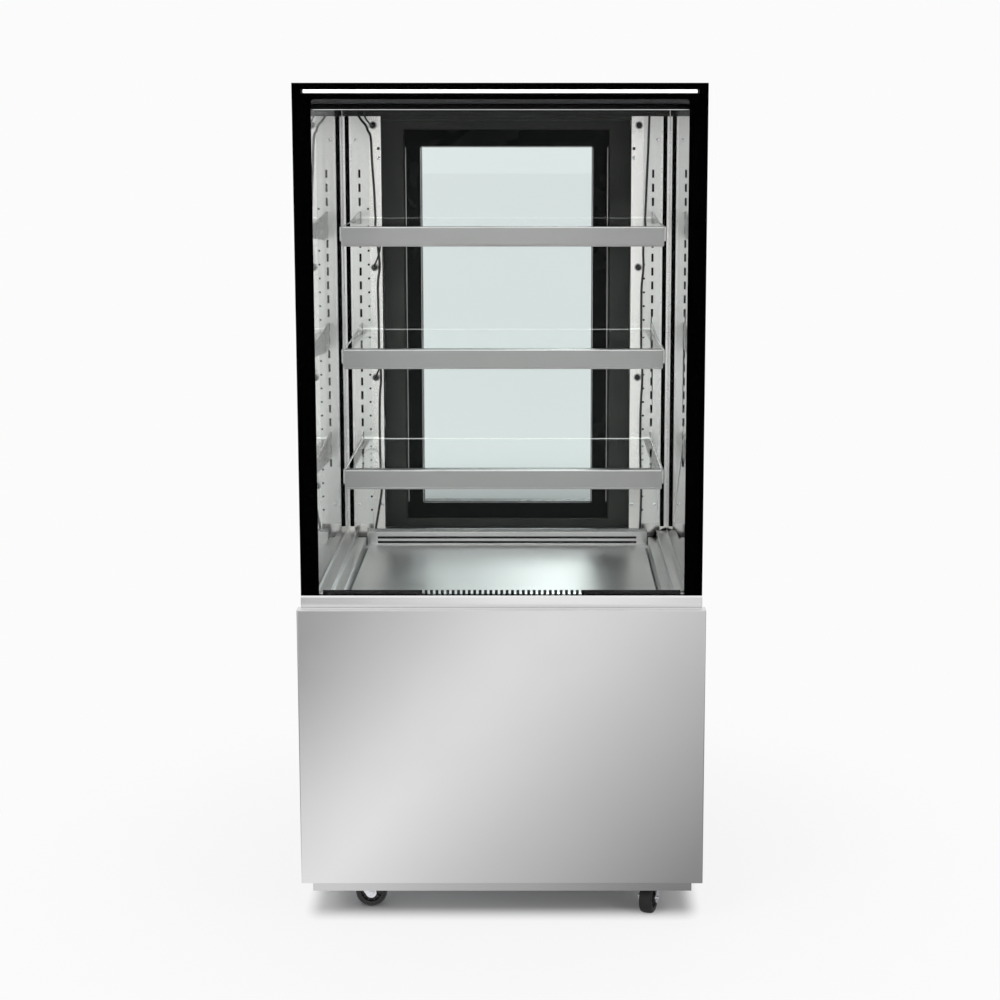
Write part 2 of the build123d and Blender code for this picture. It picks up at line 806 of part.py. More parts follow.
door_pane = 4
door_pane_front = door_front + 2
door_pane_rear = door_rear - 2
glass_height = door_glass_top - door_glass_bottom
glass_middle = (door_glass_top + door_glass_bottom) / 2
with BuildPart() as door_glass:
    for pane_y in (door_pane_front, door_pane_rear - door_pane):
        with BuildSketch(Plane(origin=(0, pane_y, glass_middle), x_dir=(-1, 0, 0), z_dir=(0, 1, 0))):
            Rectangle(2 * door_glass_half, glass_height)
        extrude(amount=door_pane)
write(door_glass, "door_glass")

with BuildPart() as door_border_frame:
    border_y = door_pane_front + door_pane
    with BuildSketch(Plane(origin=(0, border_y, glass_middle), x_dir=(-1, 0, 0), z_dir=(0, 1, 0))):
        Rectangle(2 * door_glass_half, glass_height)
        Rectangle(2 * (door_glass_half - door_border), glass_height - 2 * door_border, mode=Mode.SUBTRACT)
    extrude(amount=door_pane_rear - door_pane - border_y)
write(door_border_frame, "door_border")

gasket_bottom = opening_bottom - 4 - gasket_width
gasket_top = opening_top + 4 + gasket_width
with BuildPart() as door_gasket:
    with BuildSketch(Plane(origin=(0, case_rear + fit, (gasket_bottom + gasket_top) / 2), x_dir=(-1, 0, 0), z_dir=(0, 1, 0))):
        Rectangle(2 * gasket_outer, gasket_top - gasket_bottom)
        Rectangle(
            2 * (gasket_outer - gasket_width),
            gasket_top - gasket_bottom - 2 * gasket_width,
            mode=Mode.SUBTRACT,
        )
    extrude(amount=gasket_depth - fit)
write(door_gasket, "door_gasket")

handle_x = door_half - handle_inset
handle_reach = handle_proud
with BuildPart() as door_handle:
    with BuildSketch(upright_x(handle_x - handle_bar / 2)):
        with BuildLine():
            Polyline(
                (door_rear, handle_z - handle_length / 2),
                (door_rear + handle_reach, handle_z - handle_length / 2 + 12),
                (door_rear + handle_reach, handle_z + handle_length / 2 - 12),
                (door_rear, handle_z + handle_length / 2),
                (door_rear, handle_z + handle_length / 2 - 22),
                (door_rear + handle_reach - 7, handle_z + handle_length / 2 - 28),
                (door_rear + handle_reach - 7, handle_z - handle_length / 2 + 28),
                (door_rear, handle_z - handle_length / 2 + 22),
                close=True,
            )
        make_face()
    extrude(amount=handle_bar)
    fillet(door_handle.edges().filter_by(Axis.Z).group_by(Axis.Y)[-1], radius=2.5)
write(door_handle, "door_handle")

# Hinge brackets: angle plates above and below the door, each with a pin that the door turns on
hinge_gap = 0.5
hinge_width = 28
hinge_leaf = 14
with BuildPart() as hinge_brackets:
    for side, face in ((1, door_top), (-1, door_bottom)):
        near = face + side * hinge_gap
        with BuildSketch(flat(hinge_x, case_rear, near)):
            with BuildLine():
                Line((-hinge_width / 2, 0), (hinge_width / 2, 0))
                Line((hinge_width / 2, 0), (hinge_width / 2, hinge_y - case_rear))
                RadiusArc((hinge_width / 2, hinge_y - case_rear), (-hinge_width / 2, hinge_y - case_rear), -hinge_width / 2)
                Line((-hinge_width / 2, hinge_y - case_rear), (-hinge_width / 2, 0))
            make_face()
        extrude(amount=side * hinge_plate)
        with BuildSketch(flat(hinge_x, case_rear + hinge_plate / 2, near)):
            Rectangle(hinge_width, hinge_plate)
        extrude(amount=side * hinge_leaf)
        with BuildSketch(flat(hinge_x, hinge_y, near)):
            Circle(hinge_pin_radius)
        extrude(amount=-side * hinge_pin_length)
write(hinge_brackets, "hinge_brackets")

# Service grille: a pressed sheet with two columns of louvres
grille_half = half_case - 7
grille_bottom = 82
grille_top = 428
fascia_top = 486
rear_sheet_y = case_rear
louvre_middle = (grille_bottom + grille_top) / 2
with BuildPart() as service_grille:
    with BuildSketch(upright_y(rear_sheet_y)):
        with Locations((0, louvre_middle)):
            Rectangle(2 * grille_half, grille_top - grille_bottom)
        with Locations((0, louvre_middle)):
            with GridLocations(2 * louvre_length * 0.6, louvre_pitch, 2, louvre_rows):
                Rectangle(louvre_length, louvre_opening, mode=Mode.SUBTRACT)
    extrude(amount=sheet)
    for column in (-0.6, 0.6):
        with BuildSketch(upright_x(column * louvre_length - louvre_length / 2)):
            for row in range(louvre_rows):
                low = louvre_middle + (row - (louvre_rows - 1) / 2) * louvre_pitch - louvre_opening / 2
                high = low + louvre_opening
                with BuildLine():
                    Polyline(
                        (rear_sheet_y, high),
                        (rear_sheet_y + sheet, high + 2),
                        (rear_sheet_y + louvre_depth, low + 3),
                        (rear_sheet_y + louvre_depth, low),
                        (rear_sheet_y + louvre_depth - 1.2, low),
                        (rear_sheet_y + louvre_depth - 1.2, low + 2.5),
                        (rear_sheet_y, high - 2),
                        close=True,
                    )
                make_face()
        extrude(amount=louvre_length)
write(service_grille, "service_grille")

# Control fascia above the grille, with the controller, the light switch and the cable gland in it
controls_z = (grille_top + fascia_top) / 2
controller_x = half_case - 205
controller_width = 71
controller_height = 29
switch_x = half_case - 120
switch_width = 14
switch_height = 24
gland_x = -(half_case - 100)
gland_radius = 8
with BuildPart() as control_fascia:
    with BuildSketch(upright_y(rear_sheet_y)):
        with Locations((0, controls_z)):
            Rectangle(2 * grille_half, fascia_top - grille_top - 2)
        with Locations((-controller_x, controls_z)):
            Rectangle(controller_width + 2 * fit, controller_height + 2 * fit, mode=Mode.SUBTRACT)
        with Locations((-switch_x, controls_z)):
            Rectangle(switch_width, switch_height, mode=Mode.SUBTRACT)
        with Locations((-gland_x, controls_z)):
            Circle(gland_radius + fit, mode=Mode.SUBTRACT)
    extrude(amount=sheet)
    with BuildSketch(upright_y(rear_sheet_y + sheet)):
        with Locations((-switch_x, controls_z)):
            Rectangle(switch_width + 6, switch_height + 6)
            Rectangle(switch_width, switch_height, mode=Mode.SUBTRACT)
    extrude(amount=2)
write(control_fascia, "control_fascia")

# Controller: a panel instrument with a display and two keys
bezel = 4
bezel_depth = 4
key_width = 9
key_height = 7
key_depth = 4
key_travel = 1
key_proud = 1.5
key_x = controller_x - controller_width / 2 + 10
bezel_y = rear_sheet_y + sheet
key_offsets = {"up": 6, "down": -6}
with BuildPart() as controller:
    with BuildSketch(upright_y(rear_sheet_y - 40)):
        with Locations((-controller_x, controls_z)):
            Rectangle(controller_width, controller_height)
    extrude(amount=40 + sheet)
    with BuildSketch(upright_y(bezel_y)):
        with Locations((-controller_x, controls_z)):
            RectangleRounded(controller_width + 2 * bezel, controller_height + 2 * bezel, 2)
    extrude(amount=bezel_depth)
    with BuildSketch(upright_y(bezel_y + bezel_depth)):
        with Locations((-controller_x - 8, controls_z)):
            Rectangle(38, 18)
    extrude(amount=-1, mode=Mode.SUBTRACT)
    with BuildSketch(upright_y(bezel_y + bezel_depth)):
        for key_dz in key_offsets.values():
            with Locations((-key_x, controls_z + key_dz)):
                Rectangle(key_width + 2 * fit, key_height + 2 * fit)
    extrude(amount=-key_depth, mode=Mode.SUBTRACT)
write(controller, "controller")

for name, key_dz in key_offsets.items():
    with BuildPart() as key:
        with BuildSketch(upright_y(bezel_y + bezel_depth - key_depth + key_travel + fit)):
            with Locations((-key_x, controls_z + key_dz)):
                RectangleRounded(key_width, key_height, 1)
        extrude(amount=key_depth - key_travel - fit + key_proud)
    write(key, f"key_{name}")

# Light switch: a rocker on a pin across the fascia's cut-out
rocker_gap = 0.5
rocker_pin = 1.5
rocker_y = rear_sheet_y + sheet
with BuildPart() as light_switch:
    with BuildSketch(upright_x(switch_x - switch_width / 2 + rocker_gap)):
        with BuildLine():
            Polyline(
                (rocker_y - 4, controls_z - 6),
                (rocker_y + 3.4, controls_z - 10.6),
                (rocker_y + 5.2, controls_z - 10.2),
                (rocker_y + 3.6, controls_z),
                (rocker_y + 5.2, controls_z + 10.2),
                (rocker_y + 3.4, controls_z + 10.6),
                (rocker_y - 4, controls_z + 6),
                close=True,
            )
        make_face()
    extrude(amount=switch_width - 2 * rocker_gap)
    with BuildSketch(upright_x(switch_x - switch_width / 2 + rocker_gap / 2)):
        with Locations((rocker_y, controls_z)):
            Circle(rocker_pin)
    extrude(amount=switch_width - rocker_gap)
write(light_switch, "light_switch")

# Cable gland: the inlet for the mains cord
gland_bore = 4
with BuildPart() as cable_gland:
    with BuildSketch(upright_y(rear_sheet_y - 6)):
        with Locations((-gland_x, controls_z)):
            Circle(gland_radius)
    extrude(amount=6 + sheet)
    with BuildSketch(upright_y(rear_sheet_y + sheet)):
        with Locations((-gland_x, controls_z)):
            RegularPolygon(gland_radius + 4, 6)
    extrude(amount=5)
    with BuildSketch(upright_y(rear_sheet_y + sheet + 5)):
        with Locations((-gland_x, controls_z)):
            Circle(gland_radius + 1)
    extrude(amount=12, taper=8)
    with BuildSketch(upright_y(rear_sheet_y + sheet + 17)):
        with Locations((-gland_x, controls_z)):
            Circle(gland_bore)
    extrude(amount=-20, mode=Mode.SUBTRACT)
write(cable_gland, "cable_gland")

# Compressor: a welded shell on a foot plate
comp_x, comp_y = compressor_at
comp_foot = 12
stub_radius = 6
stub_top = tray_top + compressor_height + 6
discharge_stub = (comp_x + 30, comp_y + 40)
suction_stub = (comp_x - 30, comp_y - 20)
with BuildPart() as compressor:
    with BuildSketch(Plane(origin=(comp_x, comp_y, tray_top), x_dir=(1, 0, 0), z_dir=(0, -1, 0))):
        with BuildLine():
            Line((0, comp_foot + 2), (compressor_radius * 0.55, comp_foot + 2))
            Spline(
                (compressor_radius * 0.55, comp_foot + 2),
                (compressor_radius * 0.92, comp_foot + 18),
                (compressor_radius, comp_foot + 40),
                tangents=((1, 0), (0, 1)),
            )
            Line((compressor_radius, comp_foot + 40), (compressor_radius, compressor_height - 60))
            Spline(
                (compressor_radius, compressor_height - 60),
                (compressor_radius * 0.8, compressor_height - 18),
                (0, compressor_height),
                tangents=((0, 1), (-1, 0)),
            )
            Line((0, compressor_height), (0, comp_foot + 2))
        make_face()
    revolve(axis=Axis((comp_x, comp_y, 0), (0, 0, 1)))
    with BuildSketch(flat(comp_x, comp_y, tray_top + comp_foot)):
        RectangleRounded(170, 110, 12)
    extrude(amount=4)
    with BuildSketch(flat(comp_x, comp_y, tray_top)):
        with GridLocations(140, 80, 2, 2):
            Circle(9)
    extrude(amount=comp_foot)
    with BuildSketch(Plane(origin=(comp_x + compressor_radius - 6, comp_y, tray_top + 90), x_dir=(0, 1, 0), z_dir=(1, 0, 0))):
        Rectangle(46, 52)
    extrude(amount=30)
    for stub_x, stub_y in (discharge_stub, suction_stub):
        with BuildSketch(flat(stub_x, stub_y, tray_top + compressor_height / 2)):
            Circle(stub_radius)
        extrude(amount=stub_top - tray_top - compressor_height / 2)
write(compressor, "compressor")


# Finned coils: a comb of fins between end plates, with the return bends outside
def finned_coil(x_range, y_range, z_range, rows):
    x0, x1 = x_range
    y0, y1 = y_range
    z0, z1 = z_range
    coil_width = x1 - x0
    core = coil_width - 2 * (fin_thickness + 10)
    fins = int(core / fin_pitch)
    bend = (z1 - z0) / (2 * rows)
    middle_y = (y0 + y1) / 2
    with BuildPart() as coil:
        with BuildSketch(flat((x0 + x1) / 2, middle_y, z0)):
            Rectangle(core, y1 - y0)
            for face_y in (-1, 1):
                with Locations((0, face_y * (y1 - y0) / 2)):
                    with GridLocations(fin_pitch, 0, fins, 1):
                        Rectangle(fin_pitch - fin_thickness, (y1 - y0) * 0.5, mode=Mode.SUBTRACT)
        extrude(amount=z1 - z0)
        for side in (-1, 1):
            plate_x = (x0 + x1) / 2 + side * (core / 2 + fin_thickness / 2)
            with BuildSketch(flat(plate_x, middle_y, z0)):
                Rectangle(fin_thickness, y1 - y0)
            extrude(amount=z1 - z0)
            face_x = (x0 + x1) / 2 + side * (core / 2 + fin_thickness)
            for row in range(rows):
                low = z0 + bend * (2 * row + 0.5)
                with BuildLine(Plane(origin=(face_x, middle_y, low), x_dir=(side, 0, 0), z_dir=(0, -side, 0))) as turn:
                    arc = CenterArc((0, bend / 2), bend / 2, -90, 180)
                with BuildSketch(Plane(origin=arc @ 0, z_dir=arc % 0)):
                    Circle(coil_tube)
                sweep(path=turn.line)
    return coil


condenser_y = (case_rear - sheet - condenser_depth - 2, case_rear - sheet - 2)
condenser_coil = finned_coil(condenser_x, condenser_y, (condenser_z[0] - 14, condenser_z[1]), 5)
write(condenser_coil, "condenser_coil")


# Fans: a hub with lofted blades, turning about an axis along Y
def fan(axis_x, axis_z, front, hub_radius, tip_radius, blade_count, hub_depth, shaft_radius):
    root_pitch = 48
    tip_pitch = 26
    blade_sheet = 2
    middle = front + hub_depth / 2
    with BuildPart() as rotor:
        with BuildSketch(upright_y(front)):
            with Locations((-axis_x, axis_z)):
                Circle(hub_radius)
                Circle(shaft_radius + running_fit, mode=Mode.SUBTRACT)
        extrude(amount=hub_depth)
        for number in range(blade_count):
            angle = 2 * math.pi * number / blade_count
            out = Vector(math.cos(angle), 0, math.sin(angle))
            around = Vector(-math.sin(angle), 0, math.cos(angle))
            for reach, chord, pitch in (
                (hub_radius - 2, hub_radius * 0.9, root_pitch),
                (tip_radius, tip_radius * 0.5, tip_pitch),
            ):
                centre = Vector(axis_x, middle, axis_z) + out * reach
                with BuildSketch(Plane(origin=centre, x_dir=around, z_dir=out)):
                    Rectangle(chord, blade_sheet, rotation=pitch)
            loft()
    return rotor


motor_radius = 32
motor_length = 46
motor_shaft = 4
shroud_depth = 40
shroud_front = condenser_y[0] - shroud_depth
fan_front = shroud_front + 6
fan_hub_depth = 24
condenser_fan = fan(fan_axis[0], fan_axis[1], fan_front, 24, fan_radius, 5, fan_hub_depth, motor_shaft)
write(condenser_fan, "condenser_fan")

# Condenser shroud, with the fan motor on its cross bracket
shroud_ring = fan_radius + fan_tip_gap
shroud_half_x = (condenser_x[1] - condenser_x[0]) / 2 - 8
shroud_bottom = tray_top
shroud_top = condenser_z[1]
motor_rear = fan_front - 3
with BuildPart() as condenser_shroud:
    with BuildSketch(flat(fan_axis[0], (shroud_front + condenser_y[0]) / 2, shroud_bottom)):
        Rectangle(2 * shroud_half_x, shroud_depth)
    extrude(amount=shroud_top - shroud_bottom)
    with BuildSketch(flat(fan_axis[0], (shroud_front + condenser_y[0]) / 2 + sheet, shroud_bottom + sheet)):
        Rectangle(2 * shroud_half_x - 2 * sheet, shroud_depth)
    extrude(amount=shroud_top - shroud_bottom - 2 * sheet, mode=Mode.SUBTRACT)
    with BuildSketch(upright_y(shroud_front)):
        with Locations((-fan_axis[0], fan_axis[1])):
            Circle(shroud_ring)
    extrude(amount=sheet, mode=Mode.SUBTRACT)
    with BuildSketch(upright_y(shroud_front - 3)):
        with Locations((-fan_axis[0], fan_axis[1])):
            Rectangle(2 * shroud_ring + 20, 18)
    extrude(amount=3)
    with BuildSketch(upright_y(motor_rear - motor_length)):
        with Locations((-fan_axis[0], fan_axis[1])):
            Circle(motor_radius)
    extrude(amount=motor_length)
    with BuildSketch(upright_y(motor_rear)):
        with Locations((-fan_axis[0], fan_axis[1])):
            Circle(motor_shaft)
    extrude(amount=fan_hub_depth)
write(condenser_shroud, "condenser_shroud")

# Evaporator in the well: the coil on its feet, with the fan plate in front of it
evap_plate_y = evaporator_y[0] - 44
evap_axis_z = (evaporator_z[0] + evaporator_z[1]) / 2 + 14
well_floor = tub_bottom + tub_floor
evaporator_core = finned_coil(evaporator_x, evaporator_y, evaporator_z, 2)
evap_motor_radius = 20
evap_fan_front = evap_plate_y + 6
evap_hub_depth = 18
with BuildPart() as evaporator_coil:
    add(evaporator_core.part)
    for foot_x in (evaporator_x[0] + 30, evaporator_x[1] - 30):
        with BuildSketch(flat(foot_x, (evap_plate_y + evaporator_y[1]) / 2, well_floor)):
            Rectangle(24, evaporator_y[1] - evap_plate_y)
        extrude(amount=evaporator_z[0] - well_floor)
    with BuildSketch(upright_y(evap_plate_y)):
        with Locations((0, (well_floor + evap_axis_z + evaporator_fan_radius + 10) / 2)):
            Rectangle(evaporator_x[1] - evaporator_x[0] - 20, evap_axis_z + evaporator_fan_radius + 10 - well_floor)
        with Locations((0, evap_axis_z)):
            Circle(evaporator_fan_radius + fan_tip_gap, mode=Mode.SUBTRACT)
    extrude(amount=sheet)
    with BuildSketch(upright_y(evap_plate_y - 3)):
        with Locations((0, evap_axis_z)):
            Rectangle(2 * evaporator_fan_radius + 24, 12)
    extrude(amount=3)
    with BuildSketch(upright_y(evap_fan_front - 3 - 30)):
        with Locations((0, evap_axis_z)):
            Circle(evap_motor_radius)
    extrude(amount=30)
    with BuildSketch(upright_y(evap_fan_front - 3)):
        with Locations((0, evap_axis_z)):
            Circle(motor_shaft)
    extrude(amount=evap_hub_depth)
write(evaporator_coil, "evaporator_coil")
evaporator_fan = fan(0, evap_axis_z, evap_fan_front, 16, evaporator_fan_radius, 5, evap_hub_depth, motor_shaft)
write(evaporator_fan, "evaporator_fan")

# Condensate tray on the base tray
pan_x = half_case - 205
pan_y = case_front + 148
pan_length = 240
pan_width = 180
pan_height = 34
pan_wall = 2
pan_corner = 10
with BuildPart() as condensate_tray:
    with BuildSketch(flat(pan_x, pan_y, tray_top)):
        RectangleRounded(pan_length, pan_width, pan_corner)
    extrude(amount=pan_height)
    with BuildSketch(flat(pan_x, pan_y, tray_top + pan_wall)):
        RectangleRounded(pan_length - 2 * pan_wall, pan_width - 2 * pan_wall, pan_corner - 1)
    extrude(amount=pan_height - pan_wall, mode=Mode.SUBTRACT)
write(condensate_tray, "condensate_tray")


# Refrigerant lines: discharge, liquid with its drier, and suction
def tube(points, radius, bend_radius):
    with BuildPart() as pipe:
        with BuildLine() as route:
            FilletPolyline(*points, radius=bend_radius)
        path = route.wire()
        with BuildSketch(Plane(origin=path @ 0, z_dir=path % 0)):
            Circle(radius)
        sweep(path=path)
    return pipe


line_radius = 4
line_bend = 14
coil_face = fan_axis[0] - (condenser_x[1] - condenser_x[0]) / 2 + 10
coil_y = (condenser_y[0] + condenser_y[1]) / 2
coil_pitch = (condenser_z[1] - tray_top) / 10
inlet_z = tray_top + 8 * coil_pitch
outlet_z = tray_top + 2 * coil_pitch
drier_radius = 11
drier_length = 80
drier_x = coil_face - 50
drier_y = coil_y - 32
drier_bottom = outlet_z + 46
discharge = tube(
    [
        (discharge_stub[0], discharge_stub[1], stub_top),
        (discharge_stub[0], discharge_stub[1], inlet_z),
        (discharge_stub[0], coil_y, inlet_z),
        (coil_face, coil_y, inlet_z),
    ],
    line_radius,
    line_bend,
)
suction = tube(
    [
        (suction_stub[0], suction_stub[1], stub_top),
        (suction_stub[0], suction_stub[1], stub_top + 50),
        (suction_stub[0] + 100, suction_stub[1], stub_top + 50),
        (suction_stub[0] + 100, suction_stub[1], tub_bottom),
    ],
    line_radius,
    line_bend,
)
outlet = tube(
    [
        (coil_face, coil_y, outlet_z),
        (drier_x, coil_y, outlet_z),
        (drier_x, drier_y, outlet_z),
        (drier_x, drier_y, drier_bottom),
    ],
    line_radius,
    line_bend,
)
with BuildPart() as refrigerant_lines:
    add(discharge.part)
    add(suction.part)
    add(outlet.part)
    with BuildSketch(flat(drier_x, drier_y, drier_bottom)):
        Circle(drier_radius)
    extrude(amount=drier_length)
    drier_rims = refrigerant_lines.edges().filter_by(GeomType.CIRCLE)
    fillet(drier_rims.filter_by(lambda edge: abs(edge.radius - drier_radius) < 0.01), radius=4)
    with BuildSketch(flat(drier_x, drier_y, drier_bottom + drier_length)):
        Circle(line_radius * 0.6)
    extrude(amount=tub_bottom - drier_bottom - drier_length)
write(refrigerant_lines, "refrigerant_lines")

# Casters: the top plate with its kingpin, the fork and the wheel
plate_bottom = caster_height - caster_plate
race_radius = 17
crown_bottom = crown_top - fork_sheet
kingpin_head = 7
plate_size = 62
with BuildPart() as caster_plates:
    for x in (-pivot_x, pivot_x):
        for y in (pivot_front, pivot_rear):
            with BuildSketch(flat(x, y, plate_bottom)):
                RectangleRounded(plate_size, plate_size, 6)
            extrude(amount=caster_plate)
            with BuildSketch(flat(x, y, plate_bottom)):
                Circle(race_radius)
            extrude(amount=-(plate_bottom - crown_top - 0.5), taper=20)
            with BuildSketch(flat(x, y, plate_bottom)):
                Circle(kingpin_radius)
            extrude(amount=-(plate_bottom - crown_bottom + 0.5))
            with BuildSketch(flat(x, y, crown_bottom - 0.5)):
                Circle(kingpin_head)
            extrude(amount=-2.5)
write(caster_plates, "caster_plates")

leg_offset = wheel_width / 2 + fork_gap
leg_boss = 9
nut_radius = 6.5
nut_depth = 2


def caster_fork(x, y, heading):
    trail = Vector(math.cos(math.radians(heading)), math.sin(math.radians(heading)), 0)
    across = Vector(-trail.Y, trail.X, 0)
    with BuildPart() as fork:
        with BuildSketch(Plane(origin=(x, y, crown_bottom), x_dir=trail, z_dir=(0, 0, 1))):
            Circle(race_radius + 2)
            with Locations((race_radius * 0.7, 0)):
                Rectangle(race_radius * 1.2, 2 * (leg_offset + fork_sheet))
            Circle(kingpin_radius + running_fit, mode=Mode.SUBTRACT)
        extrude(amount=fork_sheet)
        for side in (-1, 1):
            leg_origin = Vector(x, y, 0) + across * (side * leg_offset)
            with BuildSketch(Plane(origin=leg_origin, x_dir=trail, z_dir=across * -1)):
                with Locations((race_radius * 0.7, crown_top - fork_sheet / 2)):
                    Rectangle(race_radius * 1.2, fork_sheet)
                with Locations((caster_trail, wheel_radius)):
                    Circle(leg_boss)
                make_hull()
            extrude(amount=-side * fork_sheet)
        axle_start = Vector(x, y, wheel_radius) + trail * caster_trail - across * (leg_offset + fork_sheet + 3)
        with BuildSketch(Plane(origin=axle_start, x_dir=trail, z_dir=across)):
            Circle(axle_radius)
        extrude(amount=2 * (leg_offset + fork_sheet + 3))
        with BuildSketch(Plane(origin=axle_start + across, x_dir=trail, z_dir=across)):
            RegularPolygon(nut_radius, 6)
        extrude(amount=nut_depth)
    return fork


def caster_wheel(x, y, heading):
    trail = Vector(math.cos(math.radians(heading)), math.sin(math.radians(heading)), 0)
    across = Vector(-trail.Y, trail.X, 0)
    centre = Vector(x, y, wheel_radius) + trail * caster_trail
    hub_half = wheel_width / 2 + fork_gap - 0.3
    with BuildPart() as wheel:
        with BuildSketch(Plane(origin=centre, x_dir=trail, z_dir=trail.cross(across) * -1)):
            with BuildLine():
                Polyline(
                    (axle_radius + running_fit, -hub_half),
                    (axle_radius + 5, -hub_half),
                    (axle_radius + 5, -wheel_width * 0.22),
                    (wheel_radius * 0.66, -wheel_width * 0.22),
                    (wheel_radius * 0.66, -wheel_width / 2),
                    (wheel_radius - 4, -wheel_width / 2),
                )
                ThreePointArc(
                    (wheel_radius - 4, -wheel_width / 2),
                    (wheel_radius, 0),
                    (wheel_radius - 4, wheel_width / 2),
                )
                Polyline(
                    (wheel_radius - 4, wheel_width / 2),
                    (wheel_radius * 0.66, wheel_width / 2),
                    (wheel_radius * 0.66, wheel_width * 0.22),
                    (axle_radius + 5, wheel_width * 0.22),
                    (axle_radius + 5, hub_half),
                    (axle_radius + running_fit, hub_half),
                    (axle_radius + running_fit, -hub_half),
                )
            make_face()
        revolve(axis=Axis(tuple(centre), tuple(across)))
    return wheel


for name, heading in fork_headings.items():
    x = pivot_x if "right" in name else -pivot_x
    y = pivot_front if "front" in name else pivot_rear
    write(caster_fork(x, y, heading), f"caster_fork_{name}")
    write(caster_wheel(x, y, heading), f"caster_wheel_{name}")
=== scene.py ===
# %% [markdown]
# # A cake display case, dressed in Blender
#
# The CAD model gives every solid of this refrigerated case at its real size: a stainless base on casters,
# double glazing, three hooked glass shelves and a door at the rear. This lesson loads it as a fixed frame
# and adds what CAD leaves out: rounded edges, metal, glass and plastic finishes, wiring, screws and the
# light of a plain studio. Everything is in metres, and the front of the case faces -Y.

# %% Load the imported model
import json
import math

import bmesh
import bpy
from mathutils import Matrix, Vector


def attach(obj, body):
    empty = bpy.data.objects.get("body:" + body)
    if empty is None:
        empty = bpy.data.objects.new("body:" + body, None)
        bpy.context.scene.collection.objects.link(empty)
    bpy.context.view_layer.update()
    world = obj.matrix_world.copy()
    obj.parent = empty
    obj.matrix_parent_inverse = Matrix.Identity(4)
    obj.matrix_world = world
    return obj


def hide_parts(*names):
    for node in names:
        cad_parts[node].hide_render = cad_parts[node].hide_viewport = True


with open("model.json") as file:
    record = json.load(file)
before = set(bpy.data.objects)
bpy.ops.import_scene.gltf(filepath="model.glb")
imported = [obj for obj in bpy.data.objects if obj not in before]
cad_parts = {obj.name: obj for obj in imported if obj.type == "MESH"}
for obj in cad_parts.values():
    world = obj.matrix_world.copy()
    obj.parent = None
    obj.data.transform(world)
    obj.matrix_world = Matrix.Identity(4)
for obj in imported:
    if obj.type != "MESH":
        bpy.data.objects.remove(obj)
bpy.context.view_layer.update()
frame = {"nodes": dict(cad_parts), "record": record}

# %% [markdown]
# ## Camera
#
# The camera stands a little over three metres in front, at eye height, and looks down slightly. A lens of
# nearly 70 mm keeps the sides of the case almost parallel. The small lens shift moves the picture without
# turning the camera, which is how a view camera keeps upright edges upright.

# %% Camera
camera_data = bpy.data.cameras.new("view_camera")
camera_data.lens = 68.19
camera_data.sensor_width = 36
camera_data.shift_x = -0.0388
camera_data.shift_y = -0.0862
camera = bpy.data.objects.new("view_camera", camera_data)
camera.location = (0.0604, -3.310, 1.296)
camera_pitch = math.radians(8.4)
camera.rotation_euler = (math.radians(90) - camera_pitch, 0, 0)
bpy.context.scene.collection.objects.link(camera)
bpy.context.scene.camera = camera
bpy.context.scene.view_settings.view_transform = "Standard"
print("camera at", [round(place, 3) for place in camera.location])

# %% [markdown]
# ## Helpers for node trees
#
# A finish is a small graph of nodes, and short helpers keep it readable. The first adds a node and sets
# its plain values, and the second starts a material with its Principled BSDF. Values that are the same
# all over a surface go straight on the shader's sockets, and only what changes over the surface is wired
# in.


# %% Node helpers
def add_node(tree, kind, values=None, **settings):
    """Adds a node, sets its settings by name, and its sockets from a dictionary."""
    node = tree.nodes.new(kind)
    for name, value in settings.items():
        setattr(node, name, value)
    for socket, value in (values or {}).items():
        node.inputs[socket].default_value = value
    return node


def start_finish(name, **values):
    """A new material with a Principled BSDF whose plain sockets are set, and its output."""
    finish = bpy.data.materials.new(name)
    finish.use_nodes = True
    tree = finish.node_tree
    tree.nodes.clear()
    output = add_node(tree, "ShaderNodeOutputMaterial")
    shader = add_node(tree, "ShaderNodeBsdfPrincipled")
    for socket, value in values.items():
        shader.inputs[socket.replace("_", " ")].default_value = value
    tree.links.new(shader.outputs["BSDF"], output.inputs["Surface"])
    return finish, tree, shader


# %% [markdown]
# Effects that several finishes share are node groups with named inputs and outputs. One helper starts
# such a group, one places it in a material, and one makes a colour ramp, which most finishes use to turn
# a grey value into a tone.


# %% Group and ramp helpers
def place_group(tree, group, **values):
    """Places a shared node group in a material, with its own values."""
    node = tree.nodes.new("ShaderNodeGroup")
    node.node_tree = group
    for socket, value in values.items():
        node.inputs[socket.replace("_", " ")].default_value = value
    return node


def start_group(name, inputs, outputs):
    """A new shader node group with named sockets, given as (name, kind, default) and (name, kind)."""
    group = bpy.data.node_groups.new(name, "ShaderNodeTree")
    for label, kind, default in inputs:
        socket = group.interface.new_socket(label, in_out="INPUT", socket_type=kind)
        socket.default_value = default
    for label, kind in outputs:
        group.interface.new_socket(label, in_out="OUTPUT", socket_type=kind)
    entry = group.nodes.new("NodeGroupInput")
    leaving = group.nodes.new("NodeGroupOutput")
    return group, entry, leaving


def ramp_between(tree, low, high, low_at=0.0, high_at=1.0):
    """A colour ramp from one colour to another."""
    ramp = add_node(tree, "ShaderNodeValToRGB")
    ramp.color_ramp.elements[0].color = (*low, 1)
    ramp.color_ramp.elements[0].position = low_at
    ramp.color_ramp.elements[1].color = (*high, 1)
    ramp.color_ramp.elements[1].position = high_at
    return ramp


NUMBER = "NodeSocketFloat"
DIRECTION = "NodeSocketVector"

# %% [markdown]
# ## Shared effects
#
# Brushed sheet shows fine parallel lines and slow clouds of tone. One group makes both from noise that is
# squeezed across the grain: the Stretch input says how fast the noise runs along X, Y and Z, so the same
# group serves a panel brushed across and a post brushed lengthwise.

